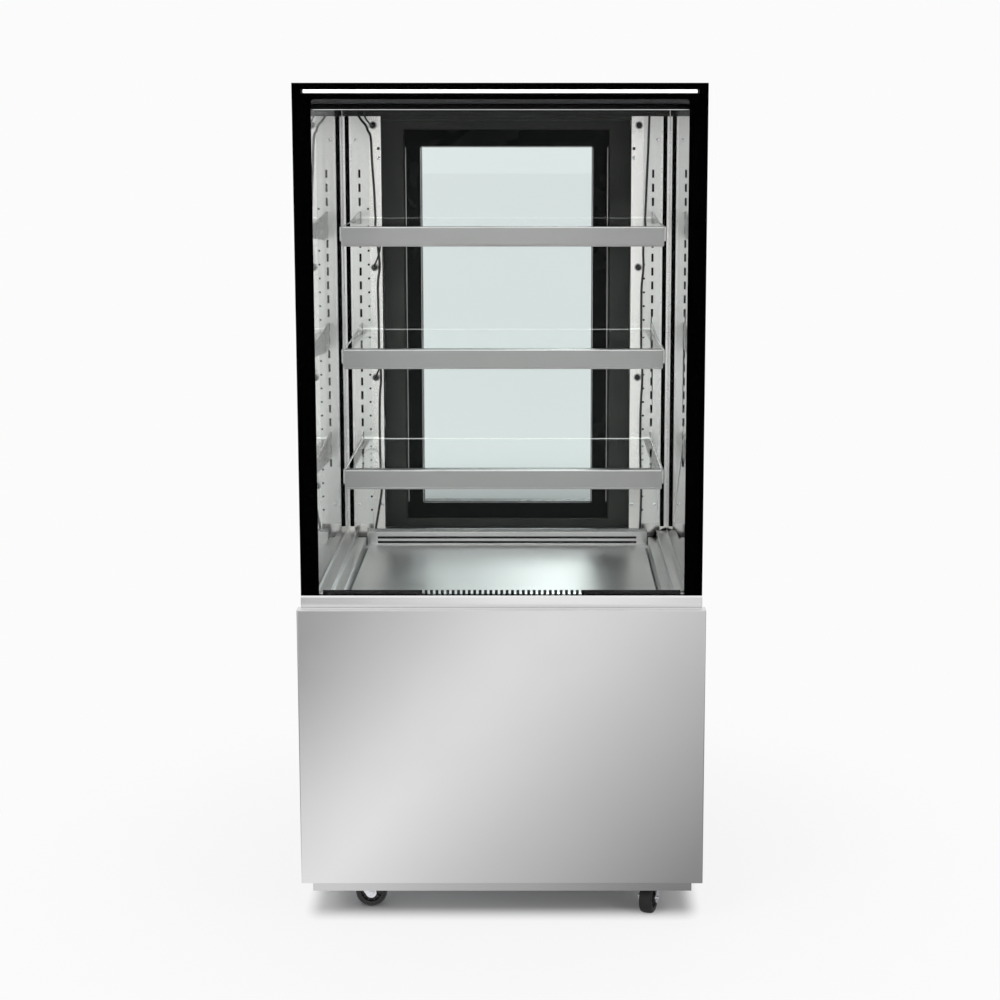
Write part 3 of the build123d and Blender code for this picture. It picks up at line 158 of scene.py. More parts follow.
# %% Drawn grain group
grain_group, entry, leaving = start_group(
    "drawn_grain",
    [("Stretch", DIRECTION, (4, 4, 900)), ("Cloud size", NUMBER, 3.0)],
    [("Streaks", NUMBER), ("Clouds", NUMBER), ("Height", NUMBER)],
)
place = add_node(grain_group, "ShaderNodeTexCoord")
squeeze = add_node(grain_group, "ShaderNodeVectorMath", operation="MULTIPLY")
lines = add_node(grain_group, "ShaderNodeTexNoise", {"Scale": 1.0, "Detail": 5.0, "Roughness": 0.65})
clouds = add_node(grain_group, "ShaderNodeTexNoise", {"Detail": 3.0, "Roughness": 0.5})
spread = add_node(grain_group, "ShaderNodeMapRange", {"From Min": 0.3, "From Max": 0.7})
slow = add_node(grain_group, "ShaderNodeMapRange", {"From Min": 0.3, "From Max": 0.7})
links = grain_group.links
links.new(place.outputs["Object"], squeeze.inputs[0])
links.new(entry.outputs["Stretch"], squeeze.inputs[1])
links.new(squeeze.outputs[0], lines.inputs["Vector"])
links.new(place.outputs["Object"], clouds.inputs["Vector"])
links.new(entry.outputs["Cloud size"], clouds.inputs["Scale"])
links.new(lines.outputs["Fac"], spread.inputs["Value"])
links.new(clouds.outputs["Fac"], slow.inputs["Value"])
links.new(spread.outputs["Result"], leaving.inputs["Streaks"])
links.new(slow.outputs["Result"], leaving.inputs["Clouds"])
links.new(lines.outputs["Fac"], leaving.inputs["Height"])

# %% [markdown]
# Hands and cloths rub the edges of sheet and profiles brighter. The Bevel node gives the normal that a
# rounded edge would have, and where it differs from the true normal there is an edge. Multiplied by
# noise, that makes a broken line of wear instead of an even outline.

# %% Edge rub group
rub_group, entry, leaving = start_group(
    "edge_rub",
    [("Width", NUMBER, 0.0012), ("Amount", NUMBER, 0.6)],
    [("Mask", NUMBER)],
)
rounded = add_node(rub_group, "ShaderNodeBevel", samples=4)
true_shape = add_node(rub_group, "ShaderNodeNewGeometry")
compare = add_node(rub_group, "ShaderNodeVectorMath", operation="DOT_PRODUCT")
edge = add_node(rub_group, "ShaderNodeMapRange", {"From Min": 0.995, "From Max": 0.86})
place = add_node(rub_group, "ShaderNodeTexCoord")
breaks = add_node(rub_group, "ShaderNodeTexNoise", {"Scale": 60.0, "Detail": 4.0, "Roughness": 0.7})
broken = add_node(rub_group, "ShaderNodeMapRange", {"From Min": 0.42, "From Max": 0.62})
joined = add_node(rub_group, "ShaderNodeMath", operation="MULTIPLY")
weighed = add_node(rub_group, "ShaderNodeMath", operation="MULTIPLY", use_clamp=True)
links = rub_group.links
links.new(entry.outputs["Width"], rounded.inputs["Radius"])
links.new(rounded.outputs["Normal"], compare.inputs[0])
links.new(true_shape.outputs["Normal"], compare.inputs[1])
links.new(compare.outputs["Value"], edge.inputs["Value"])
links.new(place.outputs["Object"], breaks.inputs["Vector"])
links.new(breaks.outputs["Fac"], broken.inputs["Value"])
links.new(edge.outputs["Result"], joined.inputs[0])
links.new(broken.outputs["Result"], joined.inputs[1])
links.new(joined.outputs[0], weighed.inputs[0])
links.new(entry.outputs["Amount"], weighed.inputs[1])
links.new(weighed.outputs[0], leaving.inputs["Mask"])

# %% [markdown]
# Wiped surfaces are never evenly glossy. This group makes broad, soft patches with some finer ones in
# them, and every finish that a cloth or a hand reaches takes its roughness from it.

# %% Wiped gloss group
wiped_group, entry, leaving = start_group(
    "wiped_gloss",
    [("Low", NUMBER, 0.25), ("High", NUMBER, 0.4), ("Size", NUMBER, 6.0)],
    [("Roughness", NUMBER)],
)
place = add_node(wiped_group, "ShaderNodeTexCoord")
broad = add_node(wiped_group, "ShaderNodeTexNoise", {"Detail": 6.0, "Roughness": 0.6, "Distortion": 0.8})
level = add_node(wiped_group, "ShaderNodeMapRange", {"From Min": 0.35, "From Max": 0.65})
links = wiped_group.links
links.new(place.outputs["Object"], broad.inputs["Vector"])
links.new(entry.outputs["Size"], broad.inputs["Scale"])
links.new(broad.outputs["Fac"], level.inputs["Value"])
links.new(entry.outputs["Low"], level.inputs["To Min"])
links.new(entry.outputs["High"], level.inputs["To Max"])
links.new(level.outputs["Result"], leaving.inputs["Roughness"])

# %% [markdown]
# Moulded plastic, powder coat and rubber share a pebbled skin a fraction of a millimetre across. Voronoi
# cells give the pebbles and a little noise breaks their regular look.

# %% Pebbled skin group
pebble_group, entry, leaving = start_group(
    "pebbled_skin",
    [("Grain", NUMBER, 1400.0)],
    [("Height", NUMBER), ("Tone", NUMBER)],
)
place = add_node(pebble_group, "ShaderNodeTexCoord")
cells = add_node(pebble_group, "ShaderNodeTexVoronoi", feature="SMOOTH_F1")
tone = add_node(pebble_group, "ShaderNodeTexNoise", {"Scale": 24.0, "Detail": 5.0, "Roughness": 0.65})
links = pebble_group.links
links.new(place.outputs["Object"], cells.inputs["Vector"])
links.new(entry.outputs["Grain"], cells.inputs["Scale"])
links.new(place.outputs["Object"], tone.inputs["Vector"])
links.new(cells.outputs["Distance"], leaving.inputs["Height"])
links.new(tone.outputs["Fac"], leaving.inputs["Tone"])
print("shared effects:", [group.name for group in bpy.data.node_groups])

# %% [markdown]
# ## Stainless sheet
#
# The base panels, posts, deck and sills are satin stainless steel. Real sheet is a metal whose gloss runs
# along the grain, so the streaks move its roughness and a very shallow bump, and the clouds change its
# tone by a few percent. Each use gets its own grain direction and lightness from one function.


# %% Stainless steel
STREAK_ROUGHNESS = 0.15


def satin_steel(
    name, stretch, dark, light, rough_low, rough_high, bump=0.03, cloud_size=3.0, streak_share=0.45
):
    """Brushed metal: stretch sets the grain, dark and light the tone, streak_share how much streaks show."""
    finish, tree, shader = start_finish(name, Metallic=1.0)
    grain = place_group(tree, grain_group, Stretch=stretch, Cloud_size=cloud_size)
    rub = place_group(tree, rub_group, Width=0.0008, Amount=0.35)
    wiped = place_group(tree, wiped_group, Low=rough_low, High=rough_high, Size=5.0)
    blend = add_node(tree, "ShaderNodeMix", data_type="FLOAT")
    blend.inputs[0].default_value = streak_share
    colours = ramp_between(tree, dark, light)
    bright = add_node(tree, "ShaderNodeMix", data_type="RGBA")
    bright.inputs[7].default_value = (0.9, 0.9, 0.9, 1)
    rougher = add_node(tree, "ShaderNodeMath", operation="MULTIPLY_ADD")
    rougher.inputs[1].default_value = STREAK_ROUGHNESS * streak_share
    relief = add_node(tree, "ShaderNodeBump", {"Strength": bump, "Distance": 0.0004})
    links = tree.links
    links.new(grain.outputs["Clouds"], blend.inputs[2])
    links.new(grain.outputs["Streaks"], blend.inputs[3])
    links.new(blend.outputs[0], colours.inputs["Fac"])
    links.new(colours.outputs["Color"], bright.inputs[6])
    links.new(rub.outputs["Mask"], bright.inputs[0])
    links.new(bright.outputs[2], shader.inputs["Base Color"])
    links.new(grain.outputs["Streaks"], rougher.inputs[0])
    links.new(wiped.outputs["Roughness"], rougher.inputs[2])
    links.new(rougher.outputs[0], shader.inputs["Roughness"])
    links.new(grain.outputs["Height"], relief.inputs["Height"])
    links.new(relief.outputs["Normal"], shader.inputs["Normal"])
    return finish


# %% [markdown]
# The stretch is fast across the grain and slow along it: the panels are brushed across the case, the
# posts upward, and the deck and the brackets from front to rear. The tones are close together, because
# this sheet is nearly even.

# %% Stainless finishes
across = (5, 5, 1100)
upward = (1100, 1100, 4)
inward = (1100, 6, 1100)
panel_steel = satin_steel(
    "panel_steel",
    stretch=across,
    dark=(0.705, 0.705, 0.705),
    light=(0.735, 0.735, 0.735),
    rough_low=0.15,
    rough_high=0.19,
    bump=0.006,
    streak_share=0.15,
)
sill_steel = satin_steel(
    "sill_steel",
    stretch=across,
    dark=(0.83, 0.83, 0.83),
    light=(0.87, 0.87, 0.87),
    rough_low=0.18,
    rough_high=0.24,
    bump=0.01,
    streak_share=0.2,
)
plinth_steel = satin_steel(
    "plinth_steel",
    stretch=across,
    dark=(0.56, 0.56, 0.56),
    light=(0.60, 0.60, 0.60),
    rough_low=0.18,
    rough_high=0.24,
    bump=0.01,
    streak_share=0.2,
)
trim_steel = satin_steel(
    "trim_steel",
    stretch=across,
    dark=(0.63, 0.63, 0.63),
    light=(0.67, 0.67, 0.668),
    rough_low=0.22,
    rough_high=0.26,
    bump=0.01,
    streak_share=0.2,
)
post_steel = satin_steel(
    "post_steel",
    stretch=upward,
    dark=(0.93, 0.925, 0.90),
    light=(0.97, 0.965, 0.94),
    rough_low=0.20,
    rough_high=0.27,
    bump=0.015,
    streak_share=0.25,
)
deck_steel = satin_steel(
    "deck_steel",
    stretch=inward,
    dark=(0.62, 0.62, 0.615),
    light=(0.70, 0.70, 0.695),
    rough_low=0.32,
    rough_high=0.38,
    bump=0.015,
    streak_share=0.3,
)
bracket_steel = satin_steel(
    "bracket_steel",
    stretch=inward,
    dark=(0.58, 0.58, 0.57),
    light=(0.70, 0.70, 0.69),
    rough_low=0.20,
    rough_high=0.28,
)
print("stainless finishes made")

# %% [markdown]
# ## Galvanised sheet
#
# The tray, the grille, the fascia and the slotted standards are zinc-coated. Zinc freezes in flat
# crystals, the spangle, and each crystal reflects a little differently. Voronoi cells carry that: every
# cell gets its own grey and its own roughness.


# %% Galvanised steel
def spangled_zinc(name, dark, light, cell_scale, rough_low, rough_high):
    """Zinc-coated sheet: a higher cell_scale makes smaller crystals."""
    finish, tree, shader = start_finish(name, Metallic=0.9)
    place = add_node(tree, "ShaderNodeTexCoord")
    crystals = add_node(tree, "ShaderNodeTexVoronoi", {"Scale": cell_scale, "Randomness": 1.0})
    grey = add_node(tree, "ShaderNodeRGBToBW")
    colours = ramp_between(tree, dark, light)
    gloss = add_node(tree, "ShaderNodeMapRange", {"To Min": rough_low, "To Max": rough_high})
    rub = place_group(tree, rub_group, Width=0.0008, Amount=0.4)
    bright = add_node(tree, "ShaderNodeMix", data_type="RGBA")
    bright.inputs[7].default_value = (0.85, 0.85, 0.86, 1)
    skin = place_group(tree, pebble_group, Grain=900.0)
    relief = add_node(tree, "ShaderNodeBump", {"Strength": 0.06, "Distance": 0.0003})
    links = tree.links
    links.new(place.outputs["Object"], crystals.inputs["Vector"])
    links.new(crystals.outputs["Color"], grey.inputs["Color"])
    links.new(grey.outputs["Val"], colours.inputs["Fac"])
    links.new(grey.outputs["Val"], gloss.inputs["Value"])
    links.new(colours.outputs["Color"], bright.inputs[6])
    links.new(rub.outputs["Mask"], bright.inputs[0])
    links.new(bright.outputs[2], shader.inputs["Base Color"])
    links.new(gloss.outputs["Result"], shader.inputs["Roughness"])
    links.new(skin.outputs["Height"], relief.inputs["Height"])
    links.new(relief.outputs["Normal"], shader.inputs["Normal"])
    return finish


sheet_zinc = spangled_zinc(
    "sheet_zinc",
    dark=(0.44, 0.45, 0.46),
    light=(0.62, 0.63, 0.64),
    cell_scale=130.0,
    rough_low=0.30,
    rough_high=0.46,
)
standard_zinc = spangled_zinc(
    "standard_zinc",
    dark=(0.79, 0.795, 0.78),
    light=(0.83, 0.835, 0.82),
    cell_scale=260.0,
    rough_low=0.30,
    rough_high=0.34,
)
caster_zinc = spangled_zinc(
    "caster_zinc",
    dark=(0.70, 0.71, 0.74),
    light=(0.86, 0.87, 0.90),
    cell_scale=420.0,
    rough_low=0.12,
    rough_high=0.22,
)
print("zinc finishes made")

# %% [markdown]
# ## Coated and moulded blacks
#
# The door profile is powder coated, the top lid, the handle and the controls are moulded, and the gasket
# and the tyres are rubber. All are dark dielectrics that differ in lightness, gloss and in how coarse
# their skin is, so one function makes them. Rubbed edges go a shade lighter.


# %% Blacks
def moulded_skin(
    name, dark, light, rough_low, rough_high, grain, bump, rub_colour, rub_amount=0.35, specular=0.5
):
    """A coated or moulded skin: a higher grain makes finer pebbles, and bump sets how deep they are."""
    finish, tree, shader = start_finish(name, Specular_IOR_Level=specular)
    skin = place_group(tree, pebble_group, Grain=grain)
    rub = place_group(tree, rub_group, Width=0.0008, Amount=rub_amount)
    wiped = place_group(tree, wiped_group, Low=rough_low, High=rough_high, Size=9.0)
    colours = ramp_between(tree, dark, light, 0.3, 0.7)
    worn = add_node(tree, "ShaderNodeMix", data_type="RGBA")
    worn.inputs[7].default_value = (*rub_colour, 1)
    relief = add_node(tree, "ShaderNodeBump", {"Strength": bump, "Distance": 0.0002})
    links = tree.links
    links.new(skin.outputs["Tone"], colours.inputs["Fac"])
    links.new(colours.outputs["Color"], worn.inputs[6])
    links.new(rub.outputs["Mask"], worn.inputs[0])
    links.new(worn.outputs[2], shader.inputs["Base Color"])
    links.new(wiped.outputs["Roughness"], shader.inputs["Roughness"])
    links.new(skin.outputs["Height"], relief.inputs["Height"])
    links.new(relief.outputs["Normal"], shader.inputs["Normal"])
    return finish


# %% [markdown]
# The blacks are told apart by small steps. The lid is the darkest, the door's coating is a lighter and
# slightly green black, rubber is the dullest, and the compressor's enamel is the glossiest.

# %% Black finishes
profile_coat = moulded_skin(
    "profile_coat",
    dark=(0.028, 0.030, 0.028),
    light=(0.034, 0.036, 0.034),
    rough_low=0.38,
    rough_high=0.50,
    grain=1600.0,
    bump=0.10,
    rub_colour=(0.07, 0.07, 0.07),
    specular=0.25,
)
lid_plastic = moulded_skin(
    "lid_plastic",
    dark=(0.008, 0.008, 0.009),
    light=(0.012, 0.012, 0.013),
    rough_low=0.30,
    rough_high=0.42,
    grain=1500.0,
    bump=0.12,
    rub_colour=(0.05, 0.05, 0.05),
    specular=0.3,
)
control_plastic = moulded_skin(
    "control_plastic",
    dark=(0.012, 0.012, 0.013),
    light=(0.020, 0.020, 0.021),
    rough_low=0.28,
    rough_high=0.40,
    grain=1800.0,
    bump=0.12,
    rub_colour=(0.07, 0.07, 0.07),
)
key_plastic = moulded_skin(
    "key_plastic",
    dark=(0.10, 0.10, 0.105),
    light=(0.13, 0.13, 0.135),
    rough_low=0.35,
    rough_high=0.45,
    grain=1800.0,
    bump=0.1,
    rub_colour=(0.2, 0.2, 0.2),
)
seal_rubber = moulded_skin(
    "seal_rubber",
    dark=(0.012, 0.012, 0.012),
    light=(0.020, 0.020, 0.020),
    rough_low=0.55,
    rough_high=0.70,
    grain=1200.0,
    bump=0.2,
    rub_colour=(0.05, 0.05, 0.05),
    specular=0.3,
)
tyre_rubber = moulded_skin(
    "tyre_rubber",
    dark=(0.012, 0.012, 0.012),
    light=(0.024, 0.024, 0.023),
    rough_low=0.45,
    rough_high=0.65,
    grain=1100.0,
    bump=0.25,
    rub_colour=(0.10, 0.10, 0.095),
    rub_amount=0.5,
)
wheel_plastic = moulded_skin(
    "wheel_plastic",
    dark=(0.020, 0.020, 0.021),
    light=(0.032, 0.032, 0.033),
    rough_low=0.30,
    rough_high=0.42,
    grain=1500.0,
    bump=0.15,
    rub_colour=(0.10, 0.10, 0.10),
)
cable_skin = moulded_skin(
    "cable_skin",
    dark=(0.012, 0.013, 0.012),
    light=(0.020, 0.021, 0.020),
    rough_low=0.35,
    rough_high=0.50,
    grain=2200.0,
    bump=0.12,
    rub_colour=(0.04, 0.04, 0.04),
)
shell_enamel = moulded_skin(
    "shell_enamel",
    dark=(0.014, 0.014, 0.015),
    light=(0.022, 0.022, 0.024),
    rough_low=0.16,
    rough_high=0.28,
    grain=500.0,
    bump=0.1,
    rub_colour=(0.12, 0.12, 0.12),
)
print("black finishes made")

# %% [markdown]
# ## Anodised rails, foam liner and copper
#
# The light rails are satin anodised aluminium with die lines along their length. A much lighter copy of
# the same metal paints highlights along the lips of the rails, at the foot of the canopy profile and up the
# posts, and also makes the canopy's end caps. The coils' thin fins are drawn by strong streaks across X.
# The liner is a pale plastic skin.

# %% Aluminium and liner
rail_metal = satin_steel(
    "rail_metal",
    stretch=(4, 1500, 1500),
    dark=(0.365, 0.367, 0.363),
    light=(0.395, 0.397, 0.393),
    rough_low=0.34,
    rough_high=0.42,
    bump=0.02,
    streak_share=0.3,
)
# Painted highlight: this much lighter copy of the rail metal draws lines of light; the canopy's end caps use
# it too.
caps_and_painted_highlight_metal = satin_steel(
    "caps_and_painted_highlight_metal",
    stretch=(4, 1500, 1500),
    dark=(0.86, 0.86, 0.85),
    light=(0.93, 0.93, 0.92),
    rough_low=0.22,
    rough_high=0.30,
    bump=0.01,
    streak_share=0.2,
)
fin_metal = satin_steel(
    "fin_metal",
    stretch=(700, 4, 4),
    dark=(0.30, 0.31, 0.32),
    light=(0.74, 0.75, 0.76),
    rough_low=0.30,
    rough_high=0.42,
    bump=0.5,
    cloud_size=8.0,
)
liner_plastic = moulded_skin(
    "liner_plastic",
    dark=(0.74, 0.75, 0.74),
    light=(0.82, 0.83, 0.82),
    rough_low=0.35,
    rough_high=0.5,
    grain=900.0,
    bump=0.1,
    rub_colour=(0.86, 0.86, 0.86),
    rub_amount=0.2,
)
print("rail, fin and liner finishes made")

# %% [markdown]
# Copper lines carry patches of brown oxide. One noise mixes the two colours and makes the oxide rougher
# than the metal.

# %% Copper
copper, tree, shader = start_finish("copper_tube", Metallic=1.0)
place = add_node(tree, "ShaderNodeTexCoord")
oxide = add_node(tree, "ShaderNodeTexNoise", {"Scale": 40.0, "Detail": 6.0, "Roughness": 0.7})
colours = ramp_between(tree, (0.24, 0.10, 0.06), (0.80, 0.42, 0.28), 0.35, 0.62)
gloss = add_node(tree, "ShaderNodeMapRange", {"To Min": 0.5, "To Max": 0.22})
tree.links.new(place.outputs["Object"], oxide.inputs["Vector"])
tree.links.new(oxide.outputs["Fac"], colours.inputs["Fac"])
tree.links.new(oxide.outputs["Fac"], gloss.inputs["Value"])
tree.links.new(colours.outputs["Color"], shader.inputs["Base Color"])
tree.links.new(gloss.outputs["Result"], shader.inputs["Roughness"])
print("copper finish made")

# %% [markdown]
# ## Glass
#
# Clear glass is a Principled BSDF with full transmission. By itself it would keep lamp light out of the
# case, because a path tracer takes no shadow ray through a refracting surface, so for shadow rays the
# material turns into a lightly tinted Transparent BSDF. The front and the door are coated against
# reflections. A refractive index well below that of glass stands for the coating, because the mirror
# image in a pane grows with its index. The shelves are a little greener than the side panes, and the door
# pane is tinted the most.


# %% Glass
def clear_glass(name, tint, shadow_tint, index, smear=0.006):
    """A clear pane: smear is the roughness of its least clean patches."""
    finish, tree, shader = start_finish(name, Transmission_Weight=1.0, IOR=index)
    wiped = place_group(tree, wiped_group, Low=0.0, High=smear, Size=4.0)
    place = add_node(tree, "ShaderNodeTexCoord")
    drift = add_node(tree, "ShaderNodeTexNoise", {"Scale": 1.5, "Detail": 2.0})
    lighter_tint = tuple(min(1.0, part + 0.01) for part in tint)
    colours = ramp_between(tree, tint, lighter_tint, 0.35, 0.65)
    through = add_node(tree, "ShaderNodeBsdfTransparent", {"Color": (*shadow_tint, 1)})
    ray = add_node(tree, "ShaderNodeLightPath")
    choose = add_node(tree, "ShaderNodeMixShader")
    output = next(node for node in tree.nodes if node.bl_idname == "ShaderNodeOutputMaterial")
    links = tree.links
    links.new(place.outputs["Object"], drift.inputs["Vector"])
    links.new(drift.outputs["Fac"], colours.inputs["Fac"])
    links.new(colours.outputs["Color"], shader.inputs["Base Color"])
    links.new(wiped.outputs["Roughness"], shader.inputs["Roughness"])
    links.new(ray.outputs["Is Shadow Ray"], choose.inputs["Fac"])
    links.new(shader.outputs["BSDF"], choose.inputs[1])
    links.new(through.outputs["BSDF"], choose.inputs[2])
    links.new(choose.outputs["Shader"], output.inputs["Surface"])
    return finish


front_pane = clear_glass(
    "front_pane",
    tint=(0.99, 0.995, 0.993),
    shadow_tint=(0.99, 0.99, 0.99),
    index=1.06,
    smear=0.003,
)
side_pane = clear_glass(
    "side_pane",
    tint=(0.975, 0.985, 0.98),
    shadow_tint=(0.97, 0.98, 0.975),
    index=1.46,
)
shelf_pane = clear_glass(
    "shelf_pane",
    tint=(0.95, 0.975, 0.965),
    shadow_tint=(0.96, 0.975, 0.97),
    index=1.46,
)
door_pane = clear_glass(
    "door_pane",
    tint=(0.868, 0.910, 0.906),
    shadow_tint=(0.94, 0.97, 0.97),
    index=1.10,
    smear=0.004,
)
print("glass finishes made")

# %% [markdown]
# ## Print and light
#
# The black edge of the glass is a fired ceramic print, so it is glossy and nearly even. The print on the
# door lies behind its glass and is painted a shade lighter, as painted light for how it looks there. The
# display's window is smooth, dark red plastic.

# %% Ceramic print and display window
glass_print = moulded_skin(
    "glass_print",
    dark=(0.0004, 0.0004, 0.0004),
    light=(0.0010, 0.0010, 0.0010),
    rough_low=0.10,
    rough_high=0.18,
    grain=2600.0,
    bump=0.01,
    rub_colour=(0.002, 0.002, 0.002),
    rub_amount=0.1,
    specular=0.04,
)
# Painted light: the same black print, made lighter for how it looks behind the door glass.
door_print_painted_lighter = moulded_skin(
    "door_print_painted_lighter",
    dark=(0.026, 0.028, 0.027),
    light=(0.032, 0.034, 0.033),
    rough_low=0.20,
    rough_high=0.30,
    grain=2600.0,
    bump=0.02,
    rub_colour=(0.05, 0.05, 0.05),
    rub_amount=0.1,
    specular=0.3,
)
display_glass = moulded_skin(
    "display_glass",
    dark=(0.02, 0.008, 0.008),
    light=(0.03, 0.012, 0.012),
    rough_low=0.05,
    rough_high=0.1,
    grain=2000.0,
    bump=0.02,
    rub_colour=(0.03, 0.012, 0.012),
    rub_amount=0.0,
)
print("print and window finishes made")

# %% [markdown]
# The light strips are opal diffusers: they glow, with a faint row of lighter spots where the diodes sit
# behind the opal. Bands of the Wave node make the row. At a scale of 1 it repeats about every 0.314 m, so
# the scale follows from the pitch of the spots. The ground edges of the shelves are no lamps, but a weaker
# glow of the same kind is painted on them as painted light.

# %% Light diffusers and the painted edge glow
WAVE_PERIOD = 0.314


def opal_light(name, colour, dim, bright, spot_pitch):
    """A glowing strip whose strength runs from dim to bright and back at every spot."""
    finish, tree, shader = start_finish(
        name,
        Base_Color=(0.9, 0.9, 0.88, 1),
        Roughness=0.4,
        Emission_Color=(*colour, 1),
        Emission_Strength=1.0,
    )
    place = add_node(tree, "ShaderNodeTexCoord")
    spots = add_node(
        tree,
        "ShaderNodeTexWave",
        {"Scale": WAVE_PERIOD / spot_pitch, "Distortion": 0.0},
        wave_type="BANDS",
        bands_direction="X",
    )
    dim_colour = tuple(dim * part for part in colour)
    bright_colour = tuple(bright * part for part in colour)
    glow = ramp_between(tree, dim_colour, bright_colour)
    tree.links.new(place.outputs["Object"], spots.inputs["Vector"])
    tree.links.new(spots.outputs["Fac"], glow.inputs["Fac"])
    tree.links.new(glow.outputs["Color"], shader.inputs["Emission Color"])
    return finish


strip_light = opal_light(
    "strip_light",
    colour=(1.0, 0.99, 0.96),
    dim=2.0,
    bright=2.4,
    spot_pitch=0.04,
)
sign_light = opal_light(
    "sign_light",
    colour=(1.0, 1.0, 0.98),
    dim=0.52,
    bright=0.60,
    spot_pitch=0.06,
)
# Painted light: the shelf edges are no lamps, and this glow stands in for the light they carry.
painted_edge_glow = opal_light(
    "painted_edge_glow",
    colour=(0.96, 1.0, 0.98),
    dim=0.75,
    bright=0.95,
    spot_pitch=0.08,
)
print("light finishes made")

# %% [markdown]
# ## Dressing a CAD solid
#
# Folded and moulded parts never have razor edges: the small radius catches a line of light, and without
# it metal looks like card. A dressed piece is a copy of the CAD node whose triangles are joined into flat
# faces. A Bevel modifier then rounds each real corner, and weighted normals keep the flat faces flat. The
# copy sits exactly on the solid and only loses its sharp edges, so all sizes stay as they are.


# %% Copying and rounding a node
SHARP_ANGLE = math.radians(35)
FLAT_ANGLE = math.radians(0.5)
SAME_PLACE = 0.00001


def ready_piece(piece, body, slot, finish, *nodes):
    """Puts a new object in the scene with its finish and body, and hides what it stands for. The slot is not
    used.
    """
    bpy.context.scene.collection.objects.link(piece)
    piece.data.materials.append(finish)
    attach(piece, body)
    if nodes:
        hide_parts(*nodes)
    return piece


def round_edges(piece, radius):
    """Rounds every sharp edge of a piece, and keeps its flat faces flat."""
    bevel = piece.modifiers.new("rounded_edges", "BEVEL")
    bevel.width = radius
    bevel.segments = 2
    bevel.limit_method = "ANGLE"
    bevel.angle_limit = SHARP_ANGLE
    bevel.miter_outer = "MITER_ARC"
    weighted = piece.modifiers.new("flat_faces_stay_flat", "WEIGHTED_NORMAL")
    weighted.keep_sharp = True


# %% [markdown]
# The imported record says which body a node moves with and which material slot it has, and a dressed
# piece takes its body from there. Vertices that the CAD mesh repeats are joined first, or the Bevel
# modifier would see no shared edges.

# %% Dressing one node
bodies = frame["record"]["behaviour"]["bodies"]
node_body = {node: body for body, nodes in bodies.items() for node in nodes}
node_slot = {part["node"]: part["material_slot"] for part in frame["record"]["subparts"]}


def dress_node(node, finish, radius):
    """A piece with rounded edges that stands for one CAD node."""
    shape = bmesh.new()
    shape.from_mesh(frame["nodes"][node].data)
    bmesh.ops.remove_doubles(shape, verts=shape.verts, dist=SAME_PLACE)
    bmesh.ops.dissolve_limit(shape, angle_limit=FLAT_ANGLE, verts=shape.verts, edges=shape.edges)
    mesh = bpy.data.meshes.new(node + "_dressed")
    shape.to_mesh(mesh)
    shape.free()
    mesh.shade_smooth()
    mesh.set_sharp_from_angle(angle=SHARP_ANGLE)
    piece = bpy.data.objects.new(node + "_dressed", mesh)
    round_edges(piece, radius)
    ready_piece(piece, node_body[node], node_slot[node], finish, node)


# %% [markdown]
# The table gives each node its finish and the radius of its edges in metres. Thin sheet and the small
# keys have the smallest radius, and the moulded handle and the soft gasket have the largest.

# %% Nodes with rounded edges
dressed = {
    "front_panel": (panel_steel, 0.0012),
    "plinth_strip": (plinth_steel, 0.0006),
    "base_side_left": (trim_steel, 0.0005),
    "base_side_right": (trim_steel, 0.0005),
    "sill_front": (sill_steel, 0.0006),
    "side_sills": (deck_steel, 0.0005),
    "corner_post_left": (post_steel, 0.0005),
    "corner_post_right": (post_steel, 0.0005),
    "shelf_standards": (standard_zinc, 0.0004),
    "deck_plate": (deck_steel, 0.0005),
    "rear_air_ledge": (trim_steel, 0.0005),
    "door_surround": (profile_coat, 0.0008),
    "top_panel": (lid_plastic, 0.0012),
    "shelf_brackets": (bracket_steel, 0.0006),
    "hinge_brackets": (caster_zinc, 0.0006),
    "caster_plates": (caster_zinc, 0.0005),
    "service_grille": (sheet_zinc, 0.0005),
    "control_fascia": (sheet_zinc, 0.0004),
    "base_tray": (sheet_zinc, 0.0005),
    "controller": (control_plastic, 0.0006),
    "cable_gland": (control_plastic, 0.0005),
    "light_switch": (control_plastic, 0.0004),
    "key_up": (key_plastic, 0.0004),
    "key_down": (key_plastic, 0.0004),
    "door_frame": (profile_coat, 0.0010),
    "door_handle": (control_plastic, 0.0015),
    "door_gasket": (seal_rubber, 0.0016),
    "shelf_rail_1": (rail_metal, 0.0005),
    "shelf_rail_2": (rail_metal, 0.0005),
    "shelf_rail_3": (rail_metal, 0.0005),
    "shelf_glass_1": (shelf_pane, 0.0009),
    "shelf_glass_2": (shelf_pane, 0.0009),
    "shelf_glass_3": (shelf_pane, 0.0009),
}
corners = ("front_left", "front_right", "rear_left", "rear_right")
for corner in corners:
    dressed[f"caster_fork_{corner}"] = (caster_zinc, 0.0006)
for node, (finish, radius) in dressed.items():
    dress_node(node, finish, radius)
print(len(dressed), "nodes dressed")

# %% [markdown]
# The other CAD nodes already have the right shape, and most lie deep inside the base or are glass. They
# stay as they are and only get their finish, in the material slot that the frame gave them.

# %% Finishes on the nodes that stay
kept_as_made = {
    "front_glass": front_pane,
    "side_glass_left": side_pane,
    "side_glass_right": side_pane,
    "glass_border": glass_print,
    "door_glass": door_pane,
    "door_border": door_print_painted_lighter,
    "well_tub": liner_plastic,
    "evaporator_coil": fin_metal,
    "evaporator_fan": control_plastic,
    "condenser_coil": fin_metal,
    "condenser_shroud": sheet_zinc,
    "condenser_fan": control_plastic,
    "compressor": shell_enamel,
    "condensate_tray": control_plastic,
    "refrigerant_lines": copper,
}
for node, finish in kept_as_made.items():
    for material_slot in frame["nodes"][node].material_slots:
        material_slot.material = finish
print(len(kept_as_made), "nodes keep their CAD mesh")

